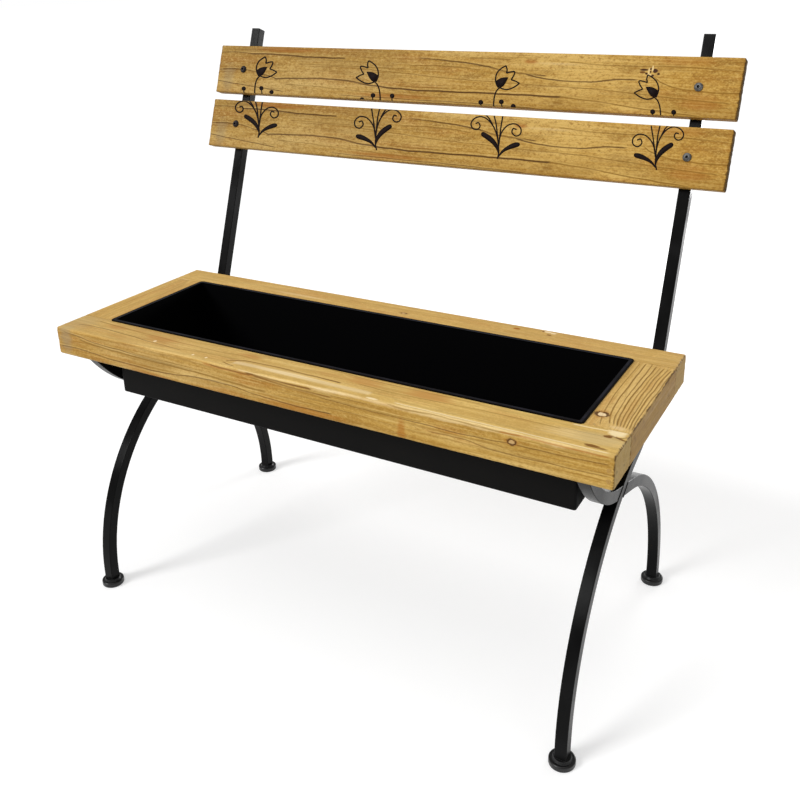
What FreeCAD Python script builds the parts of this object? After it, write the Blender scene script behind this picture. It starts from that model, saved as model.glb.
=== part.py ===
"""Park bench with a lift-out planter trough, all sizes in millimetres.

Two side frames of square steel bar carry a framed wooden seat and two back slats.
Each frame is one long bar, bent from the front foot to the top of the back, and a
second line of bar that crosses it under the seat: a seat arm in front of the
crossing and a rear leg behind it. A sheet metal trough hangs in the seat's opening.

X runs along the seat, Y from front to back and Z up. The origin lies on the floor,
under the middle of the whole bench. Inside the bodies, y is measured from the
seat's front edge.
"""
import FreeCAD, Part
import Sketcher
import math
import os
import re

Vector = FreeCAD.Vector
Rotation = FreeCAD.Rotation

doc = FreeCAD.newDocument("bench_with_planter")

# Driving dimensions, in millimetres and degrees.
DRIVING = (
    ("seat_width", 900),
    ("seat_depth", 330),
    ("seat_height", 465),
    ("board_thickness", 45),
    ("front_board_depth", 61),
    ("rear_board_depth", 56.5),
    ("side_board_width", 61.5),
    ("board_edge_radius", 3),
    ("seam_radius", 0.8),

    ("bar_size", 17),
    ("bar_edge_radius", 1),
    ("frame_inset", 44),
    ("front_stub", 12),
    ("knee_set", 91.3),
    ("knee_drop", 125.4),
    ("knee_run", 10.5),
    ("back_tilt", 20),
    ("back_gap", 2.5),
    ("upright_length", 448),
    ("crossing_back", 66.4),
    ("arm_run", 24),
    ("arm_end_run", 14),
    ("rear_run", 55),
    ("rear_stub", 9),
    ("rear_foot_overhang", 106),
    ("bead_width", 3),
    ("bead_height", 0.8),
    ("bead_edge_radius", 0.6),

    ("foot_diameter", 36),
    ("foot_disc_height", 9),
    ("foot_edge_radius", 2),
    ("foot_ring_diameter", 27),
    ("foot_ring_height", 3),
    ("foot_ring_taper", 1.5),

    ("slat_overhang", 58),
    ("slat_height", 86.5),
    ("slat_thickness", 18),
    ("slat_gap", 13),
    ("slat_rise", 225),
    ("slat_edge_radius", 2),

    ("trough_height", 125),
    ("trough_wall", 2),
    ("trough_clearance", 1.5),
    ("trough_corner", 4),
    ("trough_floor_radius", 3),
    ("lip_overlap", 3),
    ("lip_thickness", 1.5),
    ("drain_diameter", 10),
    ("drain_spacing", 150),

    ("tab_width", 50),
    ("tab_depth", 30),
    ("tab_thickness", 4),
    ("tab_corner", 3),
    ("front_tab_set", 29),
    ("rear_tab_inset", 14),
    ("tab_screw_spread", 36),
    ("tab_screw_diameter", 4.5),
    ("tab_screw_length", 30),
    ("tab_screw_head_diameter", 8.5),
    ("tab_screw_head_height", 2.6),

    ("seat_screw_diameter", 4),
    ("seat_screw_length", 95),
    ("seat_screw_head_diameter", 6),
    ("seat_screw_head_height", 3),
    ("seat_screw_inset", 7),
    ("seat_screw_depth", 19.5),
    ("seat_screw_spacing", 14),

    ("bolt_diameter", 6),
    ("bolt_head_diameter", 12.5),
    ("bolt_head_height", 3.4),
    ("bolt_crown_diameter", 6.4),
    ("bolt_head_rim", 0.8),
    ("bolt_socket", 4),
    ("bolt_socket_depth", 2.2),
    ("bolt_end", 2.5),
    ("washer_diameter", 12),
    ("washer_thickness", 1.6),
    ("nut_size", 10),
    ("nut_height", 5),
    ("drive_size", 2.2),
    ("drive_depth", 1.4),
    ("hole_clearance", 0.3),
)

# Places and sizes that follow from the driving dimensions, in this order.
LAYOUT = (
    ("half_bar", "bar_size / 2"),
    ("board_bottom", "seat_height - board_thickness"),
    ("tab_bottom", "board_bottom - tab_thickness"),
    ("opening_width", "seat_width - 2 * side_board_width"),
    ("opening_depth", "seat_depth - front_board_depth - rear_board_depth"),
    ("foot_height", "foot_disc_height + foot_ring_height"),
    ("frame_x", "seat_width / 2 - frame_inset"),
    ("rear_foot_set", "seat_depth + rear_foot_overhang"),

    # The long bar: leg arc, short run, knee arc, then the leaning upright.
    ("stub_top", "foot_height + front_stub"),
    ("leg_end_y", "seat_depth - knee_set"),
    ("leg_end_z", "seat_height - knee_drop"),
    ("leg_rise", "leg_end_z - stub_top"),
    ("leg_radius", "(leg_end_y ^ 2 + leg_rise ^ 2) / (2 * leg_end_y)"),
    ("leg_lean", "2 * atan(leg_end_y / leg_rise) / 1 deg"),
    ("run_end_y", "leg_end_y + knee_run * sin(leg_lean)"),
    ("run_end_z", "leg_end_z + knee_run * cos(leg_lean)"),
    ("upright_y", "seat_depth + back_gap + board_thickness * tan(back_tilt)"),
    ("upright_axis_y", "upright_y + half_bar / cos(back_tilt)"),
    ("knee_reach", "upright_axis_y + (run_end_z - seat_height) * tan(back_tilt) - run_end_y"),
    ("knee_share", "cos(back_tilt) - cos(leg_lean)"
                   " - tan(back_tilt) * (sin(leg_lean) - sin(back_tilt))"),
    ("knee_radius", "knee_reach / knee_share"),
    ("knee_end_y", "run_end_y + knee_radius * (cos(back_tilt) - cos(leg_lean))"),
    ("knee_end_z", "run_end_z + knee_radius * (sin(leg_lean) - sin(back_tilt))"),
    ("knee_centre_y", "run_end_y - knee_radius * cos(leg_lean)"),
    ("knee_centre_z", "run_end_z + knee_radius * sin(leg_lean)"),
    ("top_y", "upright_y + upright_length * sin(back_tilt)"),
    ("top_z", "seat_height + upright_length * cos(back_tilt)"),

    # The crossing, and the slope of the line that crosses the long bar there.
    ("crossing_lean", "leg_lean - crossing_back / leg_radius * 180 / pi"),
    ("cross_y", "leg_radius * (1 - cos(crossing_lean))"),
    ("cross_z", "stub_top + leg_radius * sin(crossing_lean)"),
    ("rear_turn_z", "foot_height + rear_stub"),
    ("rear_reach", "rear_foot_set - cross_y"),
    ("rear_drop", "cross_z - rear_turn_z"),
    ("rear_radius", "(rear_reach ^ 2 + rear_drop ^ 2 - rear_run ^ 2) / (2 * rear_reach)"),
    ("rear_square", "rear_radius ^ 2 + rear_run ^ 2"),
    ("slope_cos", "(rear_run * (rear_reach - rear_radius) + rear_radius * rear_drop) / rear_square"),
    ("slope_sin", "(rear_run * rear_drop - rear_radius * (rear_reach - rear_radius)) / rear_square"),
    ("crossing_sin", "slope_cos * cos(crossing_lean) + slope_sin * sin(crossing_lean)"),
    ("rear_bend_y", "cross_y + rear_run * slope_cos"),
    ("rear_bend_z", "cross_z - rear_run * slope_sin"),

    # The seat arm rises from the crossing to the middle of the front tab, and its
    # last run is straight. Its blank passes the tab's underside, where it is cut off.
    ("arm_bend_y", "cross_y - arm_run * slope_cos"),
    ("arm_bend_z", "cross_z + arm_run * slope_sin"),
    ("arm_step_y", "front_tab_set - arm_bend_y"),
    ("arm_step_z", "tab_bottom - arm_bend_z"),
    ("arm_radius", "(arm_step_y ^ 2 + arm_step_z ^ 2 - arm_end_run ^ 2)"
                   " / (2 * (arm_step_y * slope_sin + arm_step_z * slope_cos))"),
    ("arm_centre_y", "arm_bend_y + arm_radius * slope_sin"),
    ("arm_centre_z", "arm_bend_z + arm_radius * slope_cos"),
    ("arm_out_y", "front_tab_set - arm_centre_y"),
    ("arm_out_z", "tab_bottom - arm_centre_z"),
    ("arm_square", "arm_radius ^ 2 + arm_end_run ^ 2"),
    ("arm_normal_y", "(arm_radius * arm_out_y - arm_end_run * arm_out_z) / arm_square"),
    ("arm_normal_z", "(arm_radius * arm_out_z + arm_end_run * arm_out_y) / arm_square"),
    ("arm_turn_y", "arm_centre_y + arm_radius * arm_normal_y"),
    ("arm_turn_z", "arm_centre_z + arm_radius * arm_normal_z"),
    ("arm_blank_y", "arm_turn_y + (arm_end_run + bar_size) * arm_normal_z"),
    ("arm_blank_z", "arm_turn_z - (arm_end_run + bar_size) * arm_normal_y"),

    # The bench reaches from the front feet to the rear edge of the uprights' tops.
    ("middle_y", "(top_y + bar_size * cos(back_tilt) - foot_diameter / 2) / 2"),

    # Along the upright, measured from the height of the seat's top.
    ("slat_length", "2 * (frame_x + slat_overhang)"),
    ("lower_slat_rise", "slat_rise"),
    ("upper_slat_rise", "slat_rise + slat_height + slat_gap"),
    ("bolt_length", "slat_thickness + bar_size + washer_thickness + nut_height + bolt_end"),

    ("trough_width", "opening_width - 2 * trough_clearance"),
    ("trough_depth", "opening_depth - 2 * trough_clearance"),
    ("lip_width", "opening_width + 2 * lip_overlap"),
    ("lip_depth", "opening_depth + 2 * lip_overlap"),
    ("lip_corner", "trough_corner + trough_wall"),
    ("trough_y", "front_board_depth + opening_depth / 2"),
    ("trough_bottom", "seat_height - trough_height"),

    ("seat_screw_x", "seat_width / 2 - seat_screw_inset"),
    ("seat_screw_z", "seat_height - seat_screw_depth"),

    # The rear tab runs back into the long bar's knee, and is cut off at its face.
    ("front_tab_y", "front_tab_set - tab_depth / 2"),
    ("front_screw_y", "front_tab_set"),
    ("rear_tab_y", "seat_depth - rear_board_depth + rear_tab_inset"),
    ("rear_tab_depth", "upright_y - rear_tab_y"),
    ("rear_screw_y", "rear_tab_y + tab_depth / 2"),
)


def fill_sheet(name, rows, prefix=""):
    """Writes one named value a row, and gives the sheet."""
    sheet = doc.addObject("Spreadsheet::Sheet", name)
    for row, (alias, content) in enumerate(rows, start=1):
        cell = "B%d" % row
        sheet.set("A%d" % row, alias)
        sheet.set(cell, prefix + str(content))
        sheet.setAlias(cell, alias)
    return sheet


OWNERS = {alias: "Sizes" for alias, _ in DRIVING}
OWNERS.update({alias: "Layout" for alias, _ in LAYOUT})


def full(expression):
    """Names the sheet in front of each alias of an expression."""
    return re.sub(r"[a-z][a-z_]+", lambda word: (
        OWNERS[word.group()] + "." + word.group() if word.group() in OWNERS else word.group()),
        expression)


fill_sheet("Sizes", DRIVING)
layout = fill_sheet("Layout", [(alias, full(formula)) for alias, formula in LAYOUT], "=")
doc.recompute()


def value(expression):
    """The number that an expression of the sheets' values gives now."""
    return float(layout.evalExpression(full(expression)))


def bind(thing, **sizes):
    """Ties properties of an object to expressions of the sheets' values."""
    for name, expression in sizes.items():
        thing.setExpression(name, full(expression))


def place(thing, x="0", y="0", z="0", turn=None):
    """Ties an object's place to the sheets' values; turn is an angle about X."""
    if turn is not None:
        thing.Placement = FreeCAD.Placement(Vector(0, 0, 0), Rotation(Vector(1, 0, 0), 45))
        thing.setExpression("Placement.Rotation.Angle", full(turn))
    thing.setExpression("Placement.Base.x", full(x))
    thing.setExpression("Placement.Base.y", full(y))
    thing.setExpression("Placement.Base.z", full(z))


def new_body(label, x="0", y="0", z="0", turn=None):
    """An empty body; its y is given from the seat's front edge."""
    body = doc.addObject("PartDesign::Body", label)
    body.Label = label
    place(body, x, "(%s) - middle_y" % y, z, turn)
    return body


def new_sketch(body, name, plane, rise=None):
    """An empty sketch on one of the body's origin planes, or above it by rise."""
    sketch = body.newObject("Sketcher::SketchObject", name)
    support = [item for item in body.Origin.OriginFeatures if item.Role == plane][0]
    sketch.AttachmentSupport = [(support, "")]
    sketch.MapMode = "FlatFace"
    if rise is not None:
        sketch.setExpression("AttachmentOffset.Base.z", full(rise))
    return sketch


def arc_edge(start, end, radius, turn):
    """An arc between two points; turn is 1 where it turns left on its way."""
    chord = end - start
    left = Vector(-chord.y, chord.x, 0) / chord.Length
    centre = (start + end) / 2 + left * turn * math.sqrt(radius ** 2 - chord.Length ** 2 / 4)
    angles = [math.atan2(point.y - centre.y, point.x - centre.x) for point in (start, end)]
    return Part.ArcOfCircle(Part.Circle(centre, Vector(0, 0, 1), radius), *angles[::turn])


def draw_outline(sketch, corners, arcs=None):
    """Draws a closed outline with its corners at pairs of expressions.

    arcs gives, for the edge that leaves a corner, its radius and 1 where it turns
    left or -1 where it turns right.
    """
    arcs = arcs or {}
    points = [Vector(value(x), value(y), 0) for x, y in corners]
    ends = []
    for index, start in enumerate(points):
        end = points[(index + 1) % len(points)]
        if index in arcs:
            radius, turn = arcs[index]
            sketch.addGeometry(arc_edge(start, end, value(radius), turn), False)
            ends.append((1, 2)[::turn])
        else:
            sketch.addGeometry(Part.LineSegment(start, end), False)
            ends.append((1, 2))
    for index, (first, last) in enumerate(ends):
        following = (index + 1) % len(ends)
        sketch.addConstraint(
            Sketcher.Constraint("Coincident", index, last, following, ends[following][0]))
    for index, (x, y) in enumerate(corners):
        for kind, expression, distance in (
                ("DistanceX", x, points[index].x), ("DistanceY", y, points[index].y)):
            number = sketch.addConstraint(
                Sketcher.Constraint(kind, -1, 1, index, ends[index][0], distance))
            sketch.setExpression("Constraints[%d]" % number, full(expression))
    for index, (radius, _) in arcs.items():
        number = sketch.addConstraint(Sketcher.Constraint("Radius", index, value(radius)))
        sketch.setExpression("Constraints[%d]" % number, full(radius))


def draw_ring(sketch, centre_y, centre_z, radius, half_width):
    """Draws two circles about one centre, half_width inside and outside the radius."""
    for index, sign in enumerate("-+"):
        size = "%s %s %s" % (radius, sign, half_width)
        centre = Vector(value(centre_y), value(centre_z), 0)
        sketch.addGeometry(Part.Circle(centre, Vector(0, 0, 1), value(size)), False)
        for kind, expression, distance in (
                ("DistanceX", centre_y, centre.x), ("DistanceY", centre_z, centre.y)):
            number = sketch.addConstraint(Sketcher.Constraint(kind, -1, 1, index, 3, distance))
            sketch.setExpression("Constraints[%d]" % number, full(expression))
        number = sketch.addConstraint(Sketcher.Constraint("Radius", index, value(size)))
        sketch.setExpression("Constraints[%d]" % number, full(size))


def pad(body, sketch, length, both_ways=False):
    """Raises a sketch by a length, from its plane or half to each side."""
    feature = body.newObject("PartDesign::Pad", sketch.Name + "_pad")
    feature.Profile = sketch
    feature.Midplane = both_ways
    bind(feature, Length=length)
    return feature


def pocket(body, sketch, length, both_ways=False):
    """Cuts a sketch's outline down from its plane, or half to each side."""
    feature = body.newObject("PartDesign::Pocket", sketch.Name + "_pocket")
    feature.Profile = sketch
    feature.Midplane = both_ways
    bind(feature, Length=length)
    return feature


def block(body, name, length, width, height, x, y, z):
    """Adds a box with its lowest corner at x, y, z of the body."""
    feature = body.newObject("PartDesign::AdditiveBox", name)
    bind(feature, Length=length, Width=width, Height=height)
    place(feature, x, y, z)
    return feature


def drill(body, name, diameter, depth, x, y, z, turn="0"):
    """Cuts a round hole; it runs up from its place, or is turned about X."""
    feature = body.newObject("PartDesign::SubtractiveCylinder", name)
    bind(feature, Radius="(%s) / 2" % diameter, Height=depth)
    place(feature, x, y, z, turn)
    return feature


def round_edges(body, radius, wanted):
    """Rounds those edges of the body for which wanted(box of the edge) is true."""
    doc.recompute()
    base = body.Tip
    names = ["Edge%d" % number for number, edge in enumerate(base.Shape.Edges, start=1)
             if wanted(edge.BoundBox)]
    feature = body.newObject("PartDesign::Fillet", "rounded")
    feature.Base = (base, names)
    bind(feature, Radius=radius)
    return feature


def near(first, second):
    return abs(first - second) < 0.01


def flat_at(low, high, *levels):
    """True where an edge lies within one of the levels along one axis."""
    return near(low, high) and any(near(low, level) for level in levels)


def offset_pair(y, z, side, normal_y, normal_z):
    """A corner half a bar from the bar's middle line, on the side + or -."""
    return ("%s %s half_bar * (%s)" % (y, side, normal_y),
            "%s %s half_bar * (%s)" % (z, side, normal_z))


# Normals of the long bar's stretches, which point up and to the front.
LEG_NORMAL = ("-cos(leg_lean)", "sin(leg_lean)")
BACK_NORMAL = ("-cos(back_tilt)", "sin(back_tilt)")
# Normal of the line that crosses it, which points up.
SLOPE_NORMAL = ("slope_sin", "slope_cos")
# Normal of the seat arm's last run, which points down and to the front.
ARM_NORMAL = ("arm_normal_y", "arm_normal_z")
SIDES = (("left", -1), ("right", 1))


def side_edge_test(*ends):
    """Picks the long edges of a bar: on its side faces, and on none of its ends."""
    half = value("half_bar")

    def wanted(box):
        middle = box.Center
        return flat_at(box.XMin, box.XMax, -half, half) and not any(
            test(middle, box) for test in ends)
    return wanted


def on_level(level):
    return lambda middle, box: flat_at(box.ZMin, box.ZMax, level)


def at_point(y, z):
    """Picks the edges of a square end about a point of the bar's middle line."""
    return lambda middle, box: near(middle.y, value(y)) and near(middle.z, value(z))


def main_bar(side, sign):
    """The long bar of one frame, with the holes for the slats' bolts."""
    body = new_body(side + "_main_bar", x="%d * frame_x" % sign)
    sketch = new_sketch(body, side + "_main_outline", "YZ_Plane")
    corners = (
        ("-half_bar", "foot_height"),
        ("-half_bar", "stub_top"),
        offset_pair("leg_end_y", "leg_end_z", "+", *LEG_NORMAL),
        offset_pair("run_end_y", "run_end_z", "+", *LEG_NORMAL),
        offset_pair("knee_end_y", "knee_end_z", "+", *BACK_NORMAL),
        ("top_y", "top_z"),
        ("top_y + bar_size * cos(back_tilt)", "top_z - bar_size * sin(back_tilt)"),
        offset_pair("knee_end_y", "knee_end_z", "-", *BACK_NORMAL),
        offset_pair("run_end_y", "run_end_z", "-", *LEG_NORMAL),
        offset_pair("leg_end_y", "leg_end_z", "-", *LEG_NORMAL),
        ("half_bar", "stub_top"),
        ("half_bar", "foot_height"),
    )
    draw_outline(sketch, corners, {
        1: ("leg_radius + half_bar", -1), 3: ("knee_radius - half_bar", 1),
        7: ("knee_radius + half_bar", -1), 9: ("leg_radius - half_bar", 1)})
    pad(body, sketch, "bar_size", both_ways=True)
    round_edges(body, "bar_edge_radius", side_edge_test(on_level(value("foot_height"))))
    for slat in ("lower", "upper"):
        middle = "(%s_slat_rise + slat_height / 2)" % slat
        drill(body, "%s_%s_hole" % (side, slat), "bolt_diameter + hole_clearance", "3 * bar_size",
              "0",
              "upright_y + %s * sin(back_tilt) - bar_size * cos(back_tilt)" % middle,
              "seat_height + %s * cos(back_tilt) + bar_size * sin(back_tilt)" % middle,
              "-90 - back_tilt")
    return body


def cut_at_long_bar(body, name):
    """Ends a bar of the crossing line on the long bar's face."""
    sketch = new_sketch(body, name, "YZ_Plane")
    draw_ring(sketch, "leg_radius", "stub_top", "leg_radius", "half_bar")
    pocket(body, sketch, "2 * bar_size", both_ways=True)


def seat_arm(side, sign):
    """The curved bar from the crossing up to the front tab, cut flat below the tab."""
    body = new_body(side + "_seat_arm", x="%d * frame_x" % sign)
    sketch = new_sketch(body, side + "_arm_outline", "YZ_Plane")

    corners = (
        offset_pair("cross_y", "cross_z", "-", *SLOPE_NORMAL),
        offset_pair("arm_bend_y", "arm_bend_z", "-", *SLOPE_NORMAL),
        offset_pair("arm_turn_y", "arm_turn_z", "+", *ARM_NORMAL),
        offset_pair("arm_blank_y", "arm_blank_z", "+", *ARM_NORMAL),
        offset_pair("arm_blank_y", "arm_blank_z", "-", *ARM_NORMAL),
        offset_pair("arm_turn_y", "arm_turn_z", "-", *ARM_NORMAL),
        offset_pair("arm_bend_y", "arm_bend_z", "+", *SLOPE_NORMAL),
        offset_pair("cross_y", "cross_z", "+", *SLOPE_NORMAL),
    )
    draw_outline(sketch, corners, {
        1: ("arm_radius + half_bar", -1), 5: ("arm_radius - half_bar", 1)})
    pad(body, sketch, "bar_size", both_ways=True)
    round_edges(body, "bar_edge_radius",
                side_edge_test(at_point("arm_blank_y", "arm_blank_z"),
                               at_point("cross_y", "cross_z")))
    cut_at_long_bar(body, side + "_arm_end")
    waste = body.newObject("PartDesign::SubtractiveBox", "above_tab_bottom")
    bind(waste, Length="2 * bar_size", Width="4 * bar_size", Height="2 * bar_size")
    place(waste, "-bar_size", "front_tab_set - 3 * bar_size", "tab_bottom")
    return body


def rear_leg(side, sign):
    """The curved bar from the crossing down to the rear foot."""
    body = new_body(side + "_rear_leg", x="%d * frame_x" % sign)
    sketch = new_sketch(body, side + "_rear_outline", "YZ_Plane")
    corners = (
        offset_pair("cross_y", "cross_z", "+", *SLOPE_NORMAL),
        offset_pair("rear_bend_y", "rear_bend_z", "+", *SLOPE_NORMAL),
        ("rear_foot_set + half_bar", "rear_turn_z"),
        ("rear_foot_set + half_bar", "foot_height"),
        ("rear_foot_set - half_bar", "foot_height"),
        ("rear_foot_set - half_bar", "rear_turn_z"),
        offset_pair("rear_bend_y", "rear_bend_z", "-", *SLOPE_NORMAL),
        offset_pair("cross_y", "cross_z", "-", *SLOPE_NORMAL),
    )
    draw_outline(sketch, corners, {
        1: ("rear_radius + half_bar", -1), 5: ("rear_radius - half_bar", 1)})
    pad(body, sketch, "bar_size", both_ways=True)
    round_edges(body, "bar_edge_radius",
                side_edge_test(on_level(value("foot_height")), at_point("cross_y", "cross_z")))
    cut_at_long_bar(body, side + "_rear_end")
    return body


def crossing_weld(side, sign):
    """The four weld beads of one crossing, on the bars' outer and inner faces."""
    beads = []
    for joint, change in (("arm", "-"), ("leg", "+")):
        for face, face_sign in (("inner", -sign), ("outer", sign)):
            body = new_body(
                "%s_%s_%s_bead" % (side, joint, face),
                x="%d * frame_x + %d * (half_bar + bead_height / 2)" % (sign, face_sign),
                y="cross_y %s half_bar * slope_cos / crossing_sin" % change,
                z="cross_z - (0 %s half_bar * slope_sin / crossing_sin)" % change,
                turn="-crossing_lean")
            block(body, "bead", "bead_height", "bead_width", "bar_size / crossing_sin",
                  "-bead_height / 2", "-bead_width / 2", "-bar_size / crossing_sin / 2")
            proud = face_sign * value("bead_height") / 2
            round_edges(body, "bead_edge_radius",
                        lambda box, proud=proud: flat_at(box.XMin, box.XMax, proud))
            beads.append(body)
    return group(side + "_crossing_weld", beads)


def group(label, members):
    """One node that holds several separate solids."""
    feature = doc.addObject("Part::Compound", label)
    feature.Label = label
    feature.Links = members
    return feature


def foot(label, sign, y):
    """A round foot with a raised ring that carries the bar."""
    body = new_body(label, x="%d * frame_x" % sign, y=y)
    sketch = new_sketch(body, label + "_outline", "XZ_Plane")
    draw_outline(sketch, (
        ("0", "0"),
        ("foot_diameter / 2", "0"),
        ("foot_diameter / 2", "foot_disc_height"),
        ("foot_ring_diameter / 2", "foot_disc_height"),
        ("foot_ring_diameter / 2 - foot_ring_taper", "foot_height"),
        ("0", "foot_height")))
    turned(body, sketch)
    rim = value("foot_diameter / 2")
    round_edges(body, "foot_edge_radius", lambda box: near(box.XMax, rim) and near(box.XMin, -rim))
    return body


def turned(body, sketch):
    """Turns a sketch a full circle about its upright axis."""
    feature = body.newObject("PartDesign::Revolution", sketch.Name + "_turned")
    feature.Profile = sketch
    feature.ReferenceAxis = (sketch, ["V_Axis"])
    feature.Angle = 360
    return feature


def cross_board(label, y, depth, outer_y, inner_y):
    """The front or the rear board of the seat, across its whole width."""
    body = new_body(label)
    block(body, "board", "seat_width", depth, "board_thickness",
          "-seat_width / 2", y, "board_bottom")
    outer = value(outer_y)
    inner = value(inner_y)
    half = value("seat_width / 2")
    top = value("seat_height")

    def outside(box):
        at_end = flat_at(box.XMin, box.XMax, -half, half) and not near(box.YMin, box.YMax)
        return flat_at(box.YMin, box.YMax, outer) or at_end

    round_edges(body, "board_edge_radius", outside)
    round_edges(body, "seam_radius", lambda box: (
        flat_at(box.YMin, box.YMax, inner) and flat_at(box.ZMin, box.ZMax, top)))
    return body


def side_board(label, sign):
    """A short board between the front and the rear one."""
    body = new_body(label)
    x = "seat_width / 2 - side_board_width" if sign > 0 else "-seat_width / 2"
    block(body, "board", "side_board_width", "opening_depth", "board_thickness",
          x, "front_board_depth", "board_bottom")
    outer = sign * value("seat_width / 2")
    top = value("seat_height")
    round_edges(body, "board_edge_radius", lambda box: (
        flat_at(box.XMin, box.XMax, outer) and not near(box.YMin, box.YMax)))
    round_edges(body, "seam_radius", lambda box: (
        flat_at(box.ZMin, box.ZMax, top) and not near(box.XMin, box.XMax)))
    return body


def seat_screw_places():
    """Gives the face, side, level, place and turn of each screw that joins two boards."""
    for face, y, turn in (("front", "0", "-90"), ("rear", "seat_depth", "90")):
        for side, sign in SIDES:
            for level in range(2):
                z = "seat_screw_z - %d * seat_screw_spacing" % level
                yield face, side, level, ("%d * seat_screw_x" % sign, y, z, turn)


def seat_screws(boards, sides):
    """The long screws that join the seat's boards, heads flush, with their holes."""
    screws = []
    for face, side, level, where in seat_screw_places():
        name = "%s_%s_%d" % (face, side, level)
        for board in (boards[face], sides[side]):
            drill(board, "hole_" + name, "seat_screw_diameter + hole_clearance",
                  "seat_screw_length + hole_clearance", *where)
        drill(boards[face], "head_" + name, "seat_screw_head_diameter + hole_clearance",
              "seat_screw_head_height", *where)
        body = new_body("seat_screw_" + name, *where)
        sketch = new_sketch(body, body.Name + "_outline", "XZ_Plane")
        draw_outline(sketch, (
            ("0", "0"),
            ("seat_screw_head_diameter / 2", "0"),
            ("seat_screw_head_diameter / 2", "seat_screw_head_height / 2"),
            ("seat_screw_diameter / 2", "seat_screw_head_height"),
            ("seat_screw_diameter / 2", "seat_screw_length - seat_screw_diameter"),
            ("0", "seat_screw_length")))
        turned(body, sketch)
        drive_recess(body, "0")
        screws.append(body)
    return group("seat_screws", screws)


def drive_recess(body, z):
    """Cuts a square driver recess down into a screw's head."""
    feature = body.newObject("PartDesign::SubtractivePrism", "recess")
    feature.Polygon = 4
    bind(feature, Circumradius="drive_size / 2", Height="drive_depth")
    place(feature, z=z)
    return feature


def tab(side, sign, which):
    """A steel tab under the seat, on the seat arm or on the long bar's knee."""
    body = new_body("%s_%s_tab" % (side, which), x="%d * frame_x" % sign)
    depth = "tab_depth" if which == "front" else "rear_tab_depth"
    block(body, "plate", "tab_width", depth, "tab_thickness",
          "-tab_width / 2", which + "_tab_y", "tab_bottom")
    free_edges = [value(which + "_tab_y")]
    if which == "front":
        free_edges.append(value("front_tab_y + tab_depth"))
    else:
        sketch = new_sketch(body, side + "_knee_face", "YZ_Plane")
        draw_ring(sketch, "knee_centre_y", "knee_centre_z", "knee_radius + bar_size", "3 * half_bar")
        pocket(body, sketch, "2 * tab_width", both_ways=True)
    half = value("tab_width / 2")
    round_edges(body, "tab_corner", lambda box: (
        flat_at(box.XMin, box.XMax, -half, half) and flat_at(box.YMin, box.YMax, *free_edges)))
    for number, change in enumerate("-+"):
        drill(body, "screw_hole_%d" % number, "tab_screw_diameter + hole_clearance",
              "2 * tab_thickness", "0 %s tab_screw_spread / 2" % change, which + "_screw_y",
              "tab_bottom - tab_thickness / 2")
    return body


def tab_screw_places():
    """Gives the tab, name, x and y of each screw that holds a tab to its board."""
    for which in ("front", "rear"):
        for side, sign in SIDES:
            for number, change in enumerate("-+"):
                yield (which, "%s_%s_%d" % (which, side, number),
                       "%d * frame_x %s tab_screw_spread / 2" % (sign, change),
                       which + "_screw_y")


def tab_screws(boards):
    """The screws that go up through the tabs, with the holes for them in the boards."""
    screws = []
    for which, name, x, y in tab_screw_places():
        drill(boards[which], "pilot_" + name, "tab_screw_diameter + hole_clearance",
              "tab_screw_length - tab_thickness + hole_clearance", x, y, "board_bottom")
        body = new_body("tab_screw_" + name, x=x, y=y, z="tab_bottom")
        sketch = new_sketch(body, body.Name + "_outline", "XZ_Plane")
        draw_outline(sketch, (
            ("0", "-tab_screw_head_height"),
            ("tab_screw_head_diameter / 4", "-tab_screw_head_height"),
            ("tab_screw_head_diameter / 2", "-tab_screw_head_height / 3"),
            ("tab_screw_head_diameter / 2", "0"),
            ("tab_screw_diameter / 2", "0"),
            ("tab_screw_diameter / 2", "tab_screw_length - tab_screw_diameter"),
            ("0", "tab_screw_length")))
        turned(body, sketch)
        drive_recess(body, "-tab_screw_head_height")
        screws.append(body)
    return group("tab_screws", screws)


def slat(which):
    """A back slat on the fronts of both uprights, with its bolt holes."""
    rise = which + "_slat_rise"
    body = new_body(
        which + "_slat",
        y="upright_y + %s * sin(back_tilt) - slat_thickness * cos(back_tilt)" % rise,
        z="seat_height + %s * cos(back_tilt) + slat_thickness * sin(back_tilt)" % rise,
        turn="-back_tilt")
    block(body, "board", "slat_length", "slat_thickness", "slat_height",
          "-slat_length / 2", "0", "0")
    round_edges(body, "slat_edge_radius", lambda box: True)
    for side, sign in SIDES:
        drill(body, side + "_hole", "bolt_diameter + hole_clearance", "2 * slat_thickness",
              "%d * frame_x" % sign, "-slat_thickness / 2", "slat_height / 2", "-90")
    return body


def slat_fasteners():
    """The bolts through slats and uprights, with their washers and nuts."""
    kinds = (("slat_bolts", "0", bolt),
             ("slat_washers", "slat_thickness + bar_size", washer),
             ("slat_nuts", "slat_thickness + bar_size + washer_thickness", nut))
    groups = []
    for label, depth, make in kinds:
        members = []
        for which in ("lower", "upper"):
            rise = "(%s_slat_rise + slat_height / 2)" % which
            back = "(%s - slat_thickness)" % depth
            for side, sign in SIDES:
                body = new_body(
                    "%s_%s_%s" % (label, which, side), x="%d * frame_x" % sign,
                    y="upright_y + %s * sin(back_tilt) + %s * cos(back_tilt)" % (rise, back),
                    z="seat_height + %s * cos(back_tilt) - %s * sin(back_tilt)" % (rise, back),
                    turn="-90 - back_tilt")
                make(body)
                members.append(body)
        groups.append(group(label, members))
    return groups


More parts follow.
